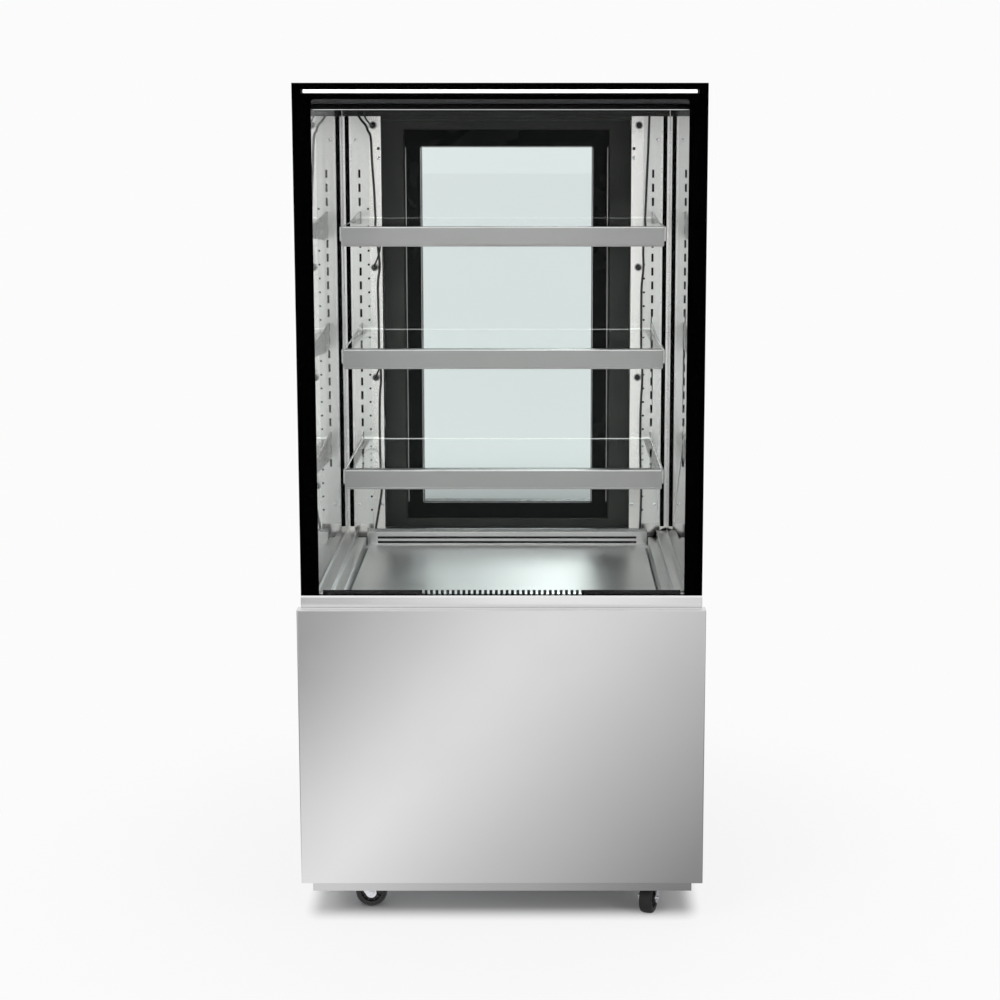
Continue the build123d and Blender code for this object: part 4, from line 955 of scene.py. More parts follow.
# %% [markdown]
# ## Profiles and turned parts
#
# Two more ways of making a mesh carry the rest of the detail. A drawn profile is an outline pushed along
# X, as an extrusion press does. A turned part is an outline spun about an axis, as a lathe does, and
# several turned parts can share one mesh, such as the screws of one panel.


# %% Profile and lathe helpers
SAME_TURN = 0.000002


def mesh_from(shape, name):
    """Turns a finished bmesh into a mesh that is smooth but for its sharp edges."""
    mesh = bpy.data.meshes.new(name)
    bmesh.ops.recalc_face_normals(shape, faces=shape.faces)
    shape.to_mesh(mesh)
    shape.free()
    mesh.shade_smooth()
    mesh.set_sharp_from_angle(angle=SHARP_ANGLE)
    return mesh


def drawn_profile(shape, outline, start, end):
    """Adds an outline of (y, z) points, pushed along X from start to end."""
    near = [shape.verts.new((start, y, z)) for y, z in outline]
    far = [shape.verts.new((end, y, z)) for y, z in outline]
    shape.faces.new(near)
    shape.faces.new(reversed(far))
    for first in range(len(outline)):
        second = (first + 1) % len(outline)
        shape.faces.new((near[first], far[first], far[second], near[second]))


def turned_part(shape, outline, centre, axis, steps):
    """Adds an outline of (radius, along) points, spun about an axis through a centre."""
    part = bmesh.new()
    ring = [part.verts.new((radius, 0, along)) for radius, along in outline]
    rim = [part.edges.new(pair) for pair in zip(ring, ring[1:])]
    bmesh.ops.spin(
        part,
        geom=ring + rim,
        cent=(0, 0, 0),
        axis=(0, 0, 1),
        angle=math.tau,
        steps=steps,
        use_duplicate=False,
    )
    bmesh.ops.remove_doubles(part, verts=part.verts, dist=SAME_TURN)
    turn = Vector((0, 0, 1)).rotation_difference(Vector(axis)).to_matrix().to_4x4()
    bmesh.ops.transform(part, matrix=Matrix.Translation(centre) @ turn, verts=part.verts)
    bmesh.ops.recalc_face_normals(part, faces=part.faces)
    copy = bpy.data.meshes.new("turned")
    part.to_mesh(copy)
    part.free()
    shape.from_mesh(copy)
    bpy.data.meshes.remove(copy)


def piece_from(shape, name, body, slot, finish, *nodes):
    """Makes a finished bmesh a piece of the case."""
    piece = bpy.data.objects.new(name, mesh_from(shape, name))
    return ready_piece(piece, body, slot, finish, *nodes)


# %% [markdown]
# ## Caster wheels
#
# A caster wheel is a hard plastic core with a rubber tyre pressed on it. The core is turned with a deep
# web and a raised hub, and ribs stiffen the web. The tyre has a crowned tread and a shallow groove in
# each wall. Both turn about the axle that the CAD fork carries.

# %% Wheel places and outlines
wheel_radius = 0.027
axle_reach = 0.032
caster_heading = {"front_left": 0, "front_right": -108, "rear_left": 70, "rear_right": 115}
caster_pivot = {
    "front_left": (-0.255, -0.245),
    "front_right": (0.255, -0.245),
    "rear_left": (-0.255, 0.205),
    "rear_right": (0.255, 0.205),
}
tyre_outline = [
    (0.0180, -0.0104),
    (0.0200, -0.0110),
    (0.0212, -0.0108),
    (0.0216, -0.0104),
    (0.0222, -0.0109),
    (0.0240, -0.0106),
    (0.0256, -0.0094),
    (0.0265, -0.0068),
    (0.0269, -0.0035),
    (0.0270, 0.0000),
]
tyre_outline += [(radius, -along) for radius, along in reversed(tyre_outline[:-1])]
core_outline = [
    (0.0042, -0.0120),
    (0.0080, -0.0120),
    (0.0086, -0.0115),
    (0.0090, -0.0060),
    (0.0100, -0.0050),
    (0.0165, -0.0050),
    (0.0172, -0.0058),
    (0.0175, -0.0100),
    (0.0185, -0.0104),
]
core_outline += [(radius, -along) for radius, along in reversed(core_outline)]
print("outline points:", len(tyre_outline), "for the tyre,", len(core_outline), "for the core")

# %% [markdown]
# A rib stands on the web, tapers outward and is lowest at the rim. Its four corners are given as reach
# from the axle, half its width, and how far it stands from the wheel's middle.

# %% Caster wheels
rib_count = 10
rib_corners = (
    (0.0088, 0.0010, 0.0092),
    (0.0176, 0.0008, 0.0080),
    (0.0176, 0.0008, 0.0046),
    (0.0088, 0.0010, 0.0046),
)


def add_rib(shape, centre, out, axle, side):
    """Adds one rib to a side of a wheel's web, along the direction out."""
    beside = out.cross(axle)
    pairs = []
    for reach, half_width, face in rib_corners:
        base = centre + out * reach + axle * side * face
        near = shape.verts.new(base + beside * half_width)
        far = shape.verts.new(base - beside * half_width)
        pairs.append((near, far))
    for first in range(4):
        second = (first + 1) % 4
        shape.faces.new((pairs[first][0], pairs[second][0], pairs[second][1], pairs[first][1]))
    shape.faces.new([pair[0] for pair in pairs])
    shape.faces.new([pair[1] for pair in reversed(pairs)])


for corner in corners:
    heading = math.radians(caster_heading[corner])
    trail = Vector((math.cos(heading), math.sin(heading), 0))
    across_axle = Vector((-trail.y, trail.x, 0))
    centre = Vector((*caster_pivot[corner], wheel_radius)) + trail * axle_reach
    tyre = bmesh.new()
    turned_part(tyre, tyre_outline, centre, across_axle, steps=72)
    body = f"wheel_{corner}"
    piece_from(tyre, f"tyre_{corner}", body, "tyre_rubber", tyre_rubber, f"caster_wheel_{corner}")
    core = bmesh.new()
    turned_part(core, core_outline, centre, across_axle, steps=48)
    for rib in range(rib_count):
        angle = math.tau * rib / rib_count
        out = trail * math.cos(angle) + Vector((0, 0, 1)) * math.sin(angle)
        for side in (-1, 1):
            add_rib(core, centre, out, across_axle, side)
    piece_from(core, f"wheel_core_{corner}", body, "tyre_rubber", wheel_plastic)
print("caster wheels turned about their axles")

# %% [markdown]
# ## Light strips
#
# Five strips light the case. The first is a line that glows through a gap in the black print above the
# display. It is a plain bar of opal behind that gap, so four corners are enough for its outline.

# %% Light line
top_front = -0.3116
line_low = 1.3597
line_high = 1.3648
line_depth = 0.010
line_half = 0.308
line_outline = [
    (top_front, line_low),
    (top_front, line_high),
    (top_front + line_depth, line_high),
    (top_front + line_depth, line_low),
]
light_line = bmesh.new()
drawn_profile(light_line, line_outline, -line_half, line_half)
piece_from(light_line, "light_line", "cabinet", "light_diffuser", sign_light, "canopy_light")
print("light line", round(2 * line_half, 3), "m long")

# %% [markdown]
# The second strip sits in a dark profile under the front of the ceiling. The profile is a wedge that is
# deepest at the front, so it hides the strip from a customer, and a painted highlight, a thin strip of much
# lighter metal, runs along its foot.

# %% Canopy profile and painted highlight
ceiling = 1.343
canopy_front = -0.296
canopy_depth = 0.0240
canopy_half = 0.300
front_drop = 0.0086
rear_drop = 0.0030
canopy_outline = [
    (canopy_front, ceiling),
    (canopy_front, ceiling - front_drop),
    (canopy_front + 0.0012, ceiling - front_drop),
    (canopy_front + 0.0235, ceiling - rear_drop),
    (canopy_front + canopy_depth, ceiling - rear_drop),
    (canopy_front + canopy_depth, ceiling),
]
canopy = bmesh.new()
drawn_profile(canopy, canopy_outline, -canopy_half, canopy_half)
canopy_profile = piece_from(canopy, "canopy_profile", "cabinet", "anodised", profile_coat)
round_edges(canopy_profile, 0.0003)

# Painted highlight: a thin strip of much lighter metal paints the line of light at the foot of the profile.
canopy_highlight_low = ceiling - 0.0094
canopy_highlight_high = canopy_highlight_low + 0.0008
canopy_highlight_outline = [
    (canopy_front - 0.0002, canopy_highlight_low),
    (canopy_front - 0.0002, canopy_highlight_high),
    (canopy_front + 0.0014, canopy_highlight_high),
    (canopy_front + 0.0014, canopy_highlight_low),
]
canopy_highlight = bmesh.new()
drawn_profile(canopy_highlight, canopy_highlight_outline, -canopy_half, canopy_half)
piece_from(canopy_highlight, "canopy_lip_highlight", "cabinet", "anodised", caps_and_painted_highlight_metal)
print("canopy profile", round(2 * canopy_half, 3), "m long under the ceiling at", ceiling)

# %% [markdown]
# The diffuser lies in the sloping underside of the profile, so it lights the display from above and in
# front. A thin bright cap closes the profile at each end.

# %% Canopy diffuser and caps
opal_half = 0.296
opal_outline = [
    (canopy_front + 0.0018, ceiling - 0.0086),
    (canopy_front + 0.0232, ceiling - 0.0036),
    (canopy_front + 0.0228, ceiling - 0.0028),
    (canopy_front + 0.0018, ceiling - 0.0078),
]
canopy_opal = bmesh.new()
drawn_profile(canopy_opal, opal_outline, -opal_half, opal_half)
piece_from(canopy_opal, "canopy_diffuser", "cabinet", "light_diffuser", strip_light)
cap_thickness = 0.0018
cap_outline = [
    (canopy_front + 0.001, ceiling),
    (canopy_front + 0.001, ceiling - 0.0094),
    (canopy_front + 0.023, ceiling - 0.0040),
    (canopy_front + 0.023, ceiling),
]
for name, side in (("left", -1), ("right", 1)):
    cap = bmesh.new()
    drawn_profile(cap, cap_outline, side * canopy_half, side * (canopy_half + cap_thickness))
    piece_from(cap, f"canopy_cap_{name}", "cabinet", "anodised", caps_and_painted_highlight_metal)
print("diffuser", round(2 * opal_half, 3), "m long, with a cap at each end")

# %% [markdown]
# Under the rear of the ceiling a dark strip runs from post to post over the tops of the standards, as
# painted shade for the gap there.
# The wiring comes down from behind it.

# %% Painted shade under the rear of the ceiling
shade_strip_half = 0.302
rear_shade_outline = [
    (0.2262, 1.3285),
    (0.2262, 1.3428),
    (0.2298, 1.3428),
    (0.2298, 1.3285),
]
rear_shade_strip = bmesh.new()
drawn_profile(rear_shade_strip, rear_shade_outline, -shade_strip_half, shade_strip_half)
# Painted shade: this dark strip stands for the shadow gap under the rear of the ceiling.
ceiling_shade_strip = piece_from(rear_shade_strip, "rear_ceiling_shade_strip", "cabinet", "anodised", profile_coat)
round_edges(ceiling_shade_strip, 0.0004)
print("trim", round(2 * shade_strip_half, 3), "m long")

# %% [markdown]
# Each shelf rail hides a diffuser behind its face. It slopes, facing down and back, and from the front
# only a thin edge of it shows.

# %% Diffusers in the shelf rails
shelf_tops = [1.142, 0.9348, 0.7276]
rail_front = -0.120
rail_rear = -0.104
rail_half = 0.2695
diffuser_half = 0.263
shelf_half = 0.2707
shelf_rear = 0.222
glass_thickness = 0.006
for number, top in enumerate(shelf_tops, start=1):
    slope_low = Vector((0, rail_front + 0.0066, top - 0.0328))
    slope_high = Vector((0, rail_rear + 0.0002, top - 0.0190))
    out = Vector((0, 0.0138, -0.0094)).normalized() * 0.0009
    strip_corners = (slope_low - out, slope_low + out * 0.6, slope_high + out * 0.6, slope_high - out)
    strip_outline = [(point.y, point.z) for point in strip_corners]
    strip = bmesh.new()
    drawn_profile(strip, strip_outline, -diffuser_half, diffuser_half)
    piece_from(strip, f"rail_diffuser_{number}", "cabinet", "light_diffuser", strip_light)
print("rail diffusers at", shelf_tops)

# %% [markdown]
# ## Sockets, plugs and leads
#
# Every light strip inside has a socket in the left post: a turned ring with a round plug in it, whose
# grip has four ridges. The right post carries domed blanks in the same rings at the same heights. All
# rings share one mesh, and so do the plugs and the blanks.

# %% Sockets and plugs
post_face = 0.230
socket_x = 0.246
socket_drop = 0.092
canopy_socket = 1.312
socket_levels = [top - socket_drop for top in shelf_tops] + [canopy_socket]
towards_front = (0, -1, 0)
ring_outline = [
    (0.0050, 0.0000),
    (0.0070, 0.0000),
    (0.0070, 0.0018),
    (0.0064, 0.0028),
    (0.0056, 0.0030),
    (0.0050, 0.0026),
]
blank_outline = [
    (0.0000, 0.0030),
    (0.0030, 0.0029),
    (0.0052, 0.0022),
    (0.0064, 0.0010),
    (0.0070, 0.0000),
]
plug_outline = [(0.0000, 0.0000), (0.0048, 0.0000), (0.0048, 0.0034), (0.0044, 0.0038)]
for ridge in range(4):
    step = 0.0042 + ridge * 0.0018
    plug_outline += [
        (0.0050, step),
        (0.0050, step + 0.0009),
        (0.0045, step + 0.0012),
        (0.0045, step + 0.0016),
    ]
plug_outline += [(0.0038, 0.0122), (0.0028, 0.0148), (0.0021, 0.0160), (0.0000, 0.0160)]
rings = bmesh.new()
plugs = bmesh.new()
for level in socket_levels:
    for side, outline in ((-1, plug_outline), (1, blank_outline)):
        socket_centre = Vector((side * socket_x, post_face, level))
        turned_part(rings, ring_outline, socket_centre, towards_front, steps=36)
        turned_part(plugs, outline, socket_centre, towards_front, steps=28)
piece_from(rings, "socket_rings", "cabinet", "anodised", rail_metal, "post_fittings")
piece_from(plugs, "plugs_and_blanks", "cabinet", "black_plastic", control_plastic)
print(len(socket_levels), "sockets on each post")

# %% [markdown]
# Each rail gets its power over a thin lead that runs back under the glass, hangs in a loop at the rear
# and ends in the plug in the left post. The lead is a NURBS curve with a round bevel, because a curve
# keeps an even thickness and a soft bend at every turn.


# %% Leads
def smooth_lead(name, points, radius, *nodes):
    """A lead through or near its route's points, straight at both ends."""
    route = bpy.data.curves.new(name, "CURVE")
    route.dimensions = "3D"
    route.bevel_depth = radius
    route.bevel_resolution = 5
    route.resolution_u = 16
    route.use_fill_caps = True
    line = route.splines.new("NURBS")
    line.points.add(len(points) - 1)
    for point, place in zip(line.points, points):
        point.co = (*place, 1)
    line.order_u = 3
    line.use_endpoint_u = True
    ready_piece(bpy.data.objects.new(name, route), "cabinet", "cable_sheath", cable_skin, *nodes)


lead_radius = 0.0015
lead_x = -0.263
plug_end = post_face - 0.0155
for number, top in enumerate(shelf_tops, start=1):
    level = top - socket_drop
    under = top - 0.0098
    lead_route = [
        (lead_x, rail_rear + 0.001, under),
        (lead_x, 0.094, under),
        (-0.242, 0.152, under),
        (-0.230, 0.188, top - 0.0438),
        (-0.235, 0.192, level + 0.024),
        (-socket_x, 0.192, level),
        (-socket_x, plug_end, level),
    ]
    stands_for = ["light_leads"] if number == 1 else []
    smooth_lead(f"rail_lead_{number}", lead_route, lead_radius, *stands_for)
canopy_lead_x = -socket_x - 0.012
canopy_route = [
    (canopy_lead_x, 0.176, ceiling),
    (canopy_lead_x, 0.176, ceiling - 0.016),
    (-socket_x, 0.190, canopy_socket),
    (-socket_x, plug_end, canopy_socket),
]
smooth_lead("canopy_lead", canopy_route, lead_radius)
print("leads run to", [round(level, 4) for level in socket_levels])

# %% [markdown]
# ## Posts in detail
#
# A black loom runs down each post beside the slotted standard. It is tied at the heights of the sockets
# and wanders between the ties, so each side has a route of its own, given as places across and up.

# %% Looms
loom_radius = 0.0021
loom_y = post_face - 0.0022
left_loom = [
    (-0.2750, 1.3340),
    (-0.2682, 1.3218),
    (-0.2578, 1.3112),
    (-0.2562, 1.3020),
    (-0.2499, 1.2944),
    (-0.2488, 1.2486),
    (-0.2451, 1.1934),
    (-0.2438, 1.1472),
    (-0.2395, 1.0850),
    (-0.2355, 1.0500),
    (-0.2410, 1.0250),
    (-0.2399, 0.9645),
    (-0.2395, 0.8800),
    (-0.2355, 0.8428),
    (-0.2400, 0.8100),
    (-0.2405, 0.7000),
    (-0.2358, 0.6356),
    (-0.2435, 0.5900),
    (-0.2500, 0.5535),
]
right_loom = [
    (0.2647, 1.3330),
    (0.2633, 1.2761),
    (0.2604, 1.2063),
    (0.2589, 1.1528),
    (0.2543, 1.0823),
    (0.2566, 1.0500),
    (0.2520, 1.0151),
    (0.2525, 0.9607),
    (0.2522, 0.9174),
    (0.2562, 0.8428),
    (0.2522, 0.7900),
    (0.2520, 0.7000),
    (0.2562, 0.6356),
    (0.2530, 0.5535),
]
for name, route in (("left", left_loom), ("right", right_loom)):
    loom_route = [(x, loom_y, z) for x, z in route]
    smooth_lead(f"loom_{name}", loom_route, loom_radius)
print("looms:", len(left_loom), "points left,", len(right_loom), "points right")

# %% [markdown]
# Beside the slots there is a column of small fixing holes, one between every two slots. Behind the slots
# a dark strip paints the shade inside them, so the slots look black. A hole is a turned black dish with a
# low rim, too small to cut from the sheet, and its black is painted shade.

# %% Painted shade in the slots, and the fixing holes
slot_pitch = 0.0259
slot_count = 22
spare_rows = 4
first_slot = shelf_tops[-1] - 0.004 - 2 * slot_pitch
slot_middle = first_slot + 0.0075
slot_shade_outline = [
    (0.2362, 0.566),
    (0.2362, 1.338),
    (0.2368, 1.338),
    (0.2368, 0.566),
]
hole_outline = [
    (0.0000, 0.0002),
    (0.0014, 0.0002),
    (0.0018, 0.0004),
    (0.0020, 0.0002),
    (0.0021, 0.0000),
]
slot_shade_inner = 0.2575
slot_shade_outer = 0.2875
hole_x = 0.2570
hole_face = post_face - 0.0001
slot_shade = bmesh.new()
hole_shades = bmesh.new()
for side, highest_hole in ((-1, 1.170), (1, 1.075)):
    drawn_profile(slot_shade, slot_shade_outline, side * slot_shade_inner, side * slot_shade_outer)
    for row in range(-spare_rows, slot_count + spare_rows):
        height = slot_middle + (row + 0.5) * slot_pitch
        if height <= highest_hole:
            hole_centre = Vector((side * hole_x, hole_face, height))
            turned_part(hole_shades, hole_outline, hole_centre, towards_front, steps=12)
# Painted shade: this dark strip behind the slots stands for the shade inside them.
piece_from(slot_shade, "slot_painted_shade", "cabinet", "gasket_rubber", seal_rubber)
# Painted shade: each black dish stands for the shade inside a fixing hole.
piece_from(hole_shades, "fixing_hole_shades", "cabinet", "black_plastic", lid_plastic)
print("lowest slot at", round(first_slot, 4))

# %% [markdown]
# Pan head screws hold the standards and the posts. A screw is turned from its outline, whose sizes all
# follow from its radius, and a shallow recess in the head takes the driver. A small round port sits above
# the upper inner screw of each post.


# %% Screws and ports
def pan_screw(shape, centre, axis, radius):
    """A pan head with a round recess for the driver."""
    height = radius * 0.55
    outline = [
        (0.0, height * 0.35),
        (radius * 0.34, height * 0.35),
        (radius * 0.40, height * 0.96),
        (radius * 0.60, height * 0.92),
        (radius * 0.86, height * 0.66),
        (radius * 0.98, height * 0.28),
        (radius, 0.0),
    ]
    turned_part(shape, outline, Vector(centre), axis, steps=20)


inner_screw_x = 0.2365
inner_screw_heights = (1.252, 0.600)
inner_screw_radius = 0.0032
outer_screw_x = 0.2800
outer_screw_heights = (1.285, 0.600)
outer_screw_radius = 0.0030
port_height = 1.2695
port_outline = [(0.0, 0.0004), (0.0022, 0.0004), (0.0026, 0.0010), (0.0030, 0.0)]
screws = bmesh.new()
ports = bmesh.new()
for side in (-1, 1):
    for height in inner_screw_heights:
        inner_centre = (side * inner_screw_x, post_face, height)
        pan_screw(screws, inner_centre, towards_front, inner_screw_radius)
    for height in outer_screw_heights:
        outer_centre = (side * outer_screw_x, post_face, height)
        pan_screw(screws, outer_centre, towards_front, outer_screw_radius)
    port_centre = Vector((side * inner_screw_x, post_face, port_height))
    turned_part(ports, port_outline, port_centre, towards_front, steps=20)
piece_from(screws, "post_screws", "cabinet", "zinc", caster_zinc)
piece_from(ports, "post_ports", "cabinet", "black_plastic", control_plastic)
print("screws and ports set on the posts")

# %% [markdown]
# ## Fine bright lines
#
# Much of the sparkle inside a lit case comes from narrow edges, and here it is painted light. The ground
# rear and side edges of each shelf glow with painted light for what they carry from the rails, and a
# painted highlight of much lighter metal runs along the lip of each rail. Each is a strip of a few
# millimetres at most, drawn as its own small profile with its front edges taken off.


# %% Painted glow on the shelf edges and painted highlights on the rail lips
def add_strip(shape, low, high):
    """Adds a small bar between two corners, with its front edges taken off."""
    y_low, z_low = low[1], low[2]
    y_high, z_high = high[1], high[2]
    cut = 0.12 * min(y_high - y_low, z_high - z_low)
    outline = [
        (y_low, z_low + cut),
        (y_low, z_high - cut),
        (y_low + cut, z_high),
        (y_high, z_high),
        (y_high, z_low),
        (y_low + cut, z_low),
    ]
    drawn_profile(shape, outline, low[0], high[0])


for number, top in enumerate(shelf_tops, start=1):
    glass_low = top - glass_thickness
    glowing = bmesh.new()
    rear_low = (-shelf_half, shelf_rear + 0.0001, glass_low)
    rear_high = (shelf_half, shelf_rear + 0.0008, top)
    add_strip(glowing, rear_low, rear_high)
    for side in (-1, 1):
        inner, outer = sorted((side * shelf_half, side * (shelf_half - 0.0005)))
        side_low = (inner, rail_rear + 0.004, glass_low + 0.0009)
        side_high = (outer, shelf_rear - 0.001, top - 0.0009)
        add_strip(glowing, side_low, side_high)
    # Painted light: the ground shelf edges glow though they are no lamps.
    piece_from(glowing, f"shelf_edge_painted_glow_{number}", "cabinet", "light_diffuser", painted_edge_glow)
    # Painted highlight: a strip of much lighter metal paints the line of light along each rail's lip.
    rail_highlight = bmesh.new()
    rail_highlight_low = (-rail_half, rail_front - 0.0006, top - 0.0018)
    rail_highlight_high = (rail_half, rail_front + 0.0012, top)
    add_strip(rail_highlight, rail_highlight_low, rail_highlight_high)
    piece_from(rail_highlight, f"rail_lip_highlight_{number}", "cabinet", "anodised", caps_and_painted_highlight_metal)
print("edges and beads on", len(shelf_tops), "shelves")

# %% [markdown]
# Double glazing has a metal spacer between its panes. In the door it shows as thin lines round the
# window, two at each side and one above and below, and they ride on the door.

# %% Door spacer lines
door_glass_front = 0.284
window_half = 0.1605
window_low = 0.5945
window_high = 1.2715
line_width = 0.0014
line_front = door_glass_front - 0.0006
spacers = bmesh.new()
for side in (-1, 1):
    for place in (window_half + 0.0008, 0.1893):
        inner, outer = sorted((side * place, side * (place + line_width)))
        add_strip(spacers, (inner, line_front, window_low), (outer, door_glass_front, window_high))
for height in (window_low - 0.0022, window_high + 0.0008):
    line_low_corner = (-window_half, line_front, height)
    line_high_corner = (window_half, door_glass_front, height + line_width)
    add_strip(spacers, line_low_corner, line_high_corner)
piece_from(spacers, "door_spacer_lines", "door", "anodised", rail_metal)
print("door window", round(window_high - window_low, 3), "m high")

# %% [markdown]
# At its foot the front glass stands in a rubber seal. The middle of the seal is cut into a comb of short
# teeth, and its two ends are plain. Each tooth is one more small strip, set at an even pitch.

# %% Seal at the foot of the front glass
foot_half = 0.291
foot_front = -0.2995
foot_rear = -0.2975
foot_low = 0.5532
foot_high = 0.5612
tooth_pitch = 0.0088
tooth_half = 0.0024
comb_half = 0.132
comb = bmesh.new()
for side in (-1, 1):
    inner, outer = sorted((side * comb_half, side * foot_half))
    add_strip(comb, (inner, foot_front, foot_low), (outer, foot_rear, foot_high))
teeth_each_side = int(comb_half / tooth_pitch)
for tooth in range(-teeth_each_side, teeth_each_side + 1):
    middle = tooth * tooth_pitch
    tooth_low = (middle - tooth_half, foot_front, foot_low)
    tooth_high = (middle + tooth_half, foot_rear, foot_high)
    add_strip(comb, tooth_low, tooth_high)
piece_from(comb, "glass_foot_seal", "cabinet", "gasket_rubber", seal_rubber)
print("seal with", 2 * teeth_each_side + 1, "teeth")

# %% [markdown]
# Two bright strips stand upright on each post as painted highlights along the edges of its sheets. They
# are flat, and their much lighter metal paints the light from the strips all the way up.

# %% Painted highlights on the posts
highlight_low = 0.5655
highlight_high = 1.3270
highlight_front = post_face - 0.0012
highlight_rear = post_face - 0.0001
post_highlight_strips = bmesh.new()
for side in (-1, 1):
    for near, far in ((0.2868, 0.2904), (0.2986, 0.3027)):
        inner, outer = sorted((side * near, side * far))
        add_strip(post_highlight_strips, (inner, highlight_front, highlight_low), (outer, highlight_rear, highlight_high))
# Painted highlight: these strips of much lighter metal paint the light along the posts.
piece_from(post_highlight_strips, "post_highlight_strips", "cabinet", "zinc", caps_and_painted_highlight_metal)
print("post highlight strips", round(highlight_high - highlight_low, 3), "m high")

# %% [markdown]
# ## Rear controls
#
# The rear is the side that staff work from. The controller gets a dark window over its display and an
# arrow on each key. The arrows are small raised triangles, so they stay readable when the light changes,
# and each moves with its key.

# %% Controller window and key arrows
window_outline = [
    (0.2769, 0.4482),
    (0.2769, 0.4658),
    (0.2774, 0.4654),
    (0.2774, 0.4486),
]
display_left = 0.1094
display_right = 0.1466
window = bmesh.new()
drawn_profile(window, window_outline, display_left, display_right)
piece_from(window, "display_window", "cabinet", "black_plastic", display_glass)

controls_height = 0.457
key_front = 0.2790
controller_x = 0.120
controller_half = 0.0355
key_inset = 0.010
key_x = controller_x - controller_half + key_inset
key_rise = 0.006
arrow_tips = [(-0.0024, -0.0013), (0.0024, -0.0013), (0.0, 0.0019)]
arrow_sunk = 0.0003
arrow_proud = 0.00025
arrow_taper = 0.9
for name, rise in (("up", 1), ("down", -1)):
    arrow = bmesh.new()
    key_height = controls_height + rise * key_rise
    low = []
    high = []
    for x, z in arrow_tips:
        foot = (key_x + x, key_front - arrow_sunk, key_height + rise * z)
        crown = (
            key_x + x * arrow_taper,
            key_front + arrow_proud,
            key_height + rise * z * arrow_taper,
        )
        low.append(arrow.verts.new(foot))
        high.append(arrow.verts.new(crown))
    arrow.faces.new(high)
    arrow.faces.new(low)
    for first in range(3):
        second = (first + 1) % 3
        arrow.faces.new((low[first], low[second], high[second], high[first]))
    piece_from(arrow, f"key_arrow_{name}", f"{name}_key", "black_plastic", liner_plastic)
print("controls at", controls_height)

# %% [markdown]
# Pan head screws hold the grille and the fascia to the base: a row down each side, one at each end of the
# fascia, and two in the middle of the grille.

# %% Rear screws
fascia_face = 0.2735
rear_screw_x = 0.308
rear_screw_radius = 0.0034
grille_heights = (0.092, 0.255, 0.418)
rear_screws = bmesh.new()
to_rear = (0, 1, 0)
for side in (-1, 1):
    for height in (*grille_heights, controls_height):
        side_centre = (side * rear_screw_x, fascia_face, height)
        pan_screw(rear_screws, side_centre, to_rear, rear_screw_radius)
for height in (grille_heights[0], grille_heights[-1]):
    pan_screw(rear_screws, (0.0, fascia_face, height), to_rear, rear_screw_radius)
piece_from(rear_screws, "rear_screws", "cabinet", "zinc", caster_zinc)
print("rear screws set at", grille_heights)

# %% [markdown]
# ## Studio
#
# The case stands on a pale floor that runs into a pale world, so no horizon shows. Camera rays,
# reflections and what is seen through glass get the world's backdrop tone. All other rays get a lower
# level, so the world fills the shadows without washing out the colours.

# %% World
world = bpy.data.worlds.new("studio_world")
bpy.context.scene.world = world
world.use_nodes = True
tree = world.node_tree
tree.nodes.clear()
backdrop_white = 0.965
surround_level = 0.62
output = add_node(tree, "ShaderNodeOutputWorld")
backdrop_colour = (backdrop_white, backdrop_white, backdrop_white, 1)
seen = add_node(tree, "ShaderNodeBackground", {"Color": backdrop_colour, "Strength": 1.0})
lighting = add_node(tree, "ShaderNodeBackground", {"Color": (1, 1, 1, 1), "Strength": surround_level})
ray = add_node(tree, "ShaderNodeLightPath")
direct = add_node(tree, "ShaderNodeMath", operation="MAXIMUM")
any_seen = add_node(tree, "ShaderNodeMath", operation="MAXIMUM")
choose = add_node(tree, "ShaderNodeMixShader")
tree.links.new(ray.outputs["Is Camera Ray"], direct.inputs[0])
tree.links.new(ray.outputs["Is Transmission Ray"], direct.inputs[1])
tree.links.new(direct.outputs[0], any_seen.inputs[0])
tree.links.new(ray.outputs["Is Glossy Ray"], any_seen.inputs[1])
tree.links.new(any_seen.outputs[0], choose.inputs["Fac"])
tree.links.new(lighting.outputs["Background"], choose.inputs[1])
tree.links.new(seen.outputs["Background"], choose.inputs[2])
tree.links.new(choose.outputs["Shader"], output.inputs["Surface"])
print("world shows", backdrop_white, "and lights at", surround_level)

# %% [markdown]
# The floor is one large sheet of paper. To the camera and through glass it shows its own even glow, which
# equals the world's tone. A share of it is lit plainly instead, which keeps the shadow of the case, and
# glossy rays meet a card.

# %% Floor
floor_reach = 60.0
floor_shape = bmesh.new()
bmesh.ops.create_grid(floor_shape, x_segments=2, y_segments=2, size=floor_reach)
floor_mesh = bpy.data.meshes.new("studio_floor")
floor_shape.to_mesh(floor_mesh)
floor_shape.free()
floor = bpy.data.objects.new("studio_floor", floor_mesh)
bpy.context.scene.collection.objects.link(floor)
floor_finish = bpy.data.materials.new("studio_paper")
floor_finish.use_nodes = True
tree = floor_finish.node_tree
tree.nodes.clear()
output = add_node(tree, "ShaderNodeOutputMaterial")
plain = add_node(tree, "ShaderNodeBsdfDiffuse", {"Color": (0.70, 0.70, 0.70, 1), "Roughness": 0.5})
glow = add_node(tree, "ShaderNodeEmission", {"Color": backdrop_colour, "Strength": 1.0})
card = add_node(tree, "ShaderNodeEmission", {"Strength": 1.0})
ray = add_node(tree, "ShaderNodeLightPath")
seen_directly = add_node(tree, "ShaderNodeMath", operation="MAXIMUM")
shown_glow = add_node(tree, "ShaderNodeMath", operation="MULTIPLY")
with_shadow = add_node(tree, "ShaderNodeMixShader")
with_card = add_node(tree, "ShaderNodeMixShader")
links = tree.links
links.new(ray.outputs["Is Camera Ray"], seen_directly.inputs[0])
links.new(ray.outputs["Is Transmission Ray"], seen_directly.inputs[1])
links.new(seen_directly.outputs[0], shown_glow.inputs[0])
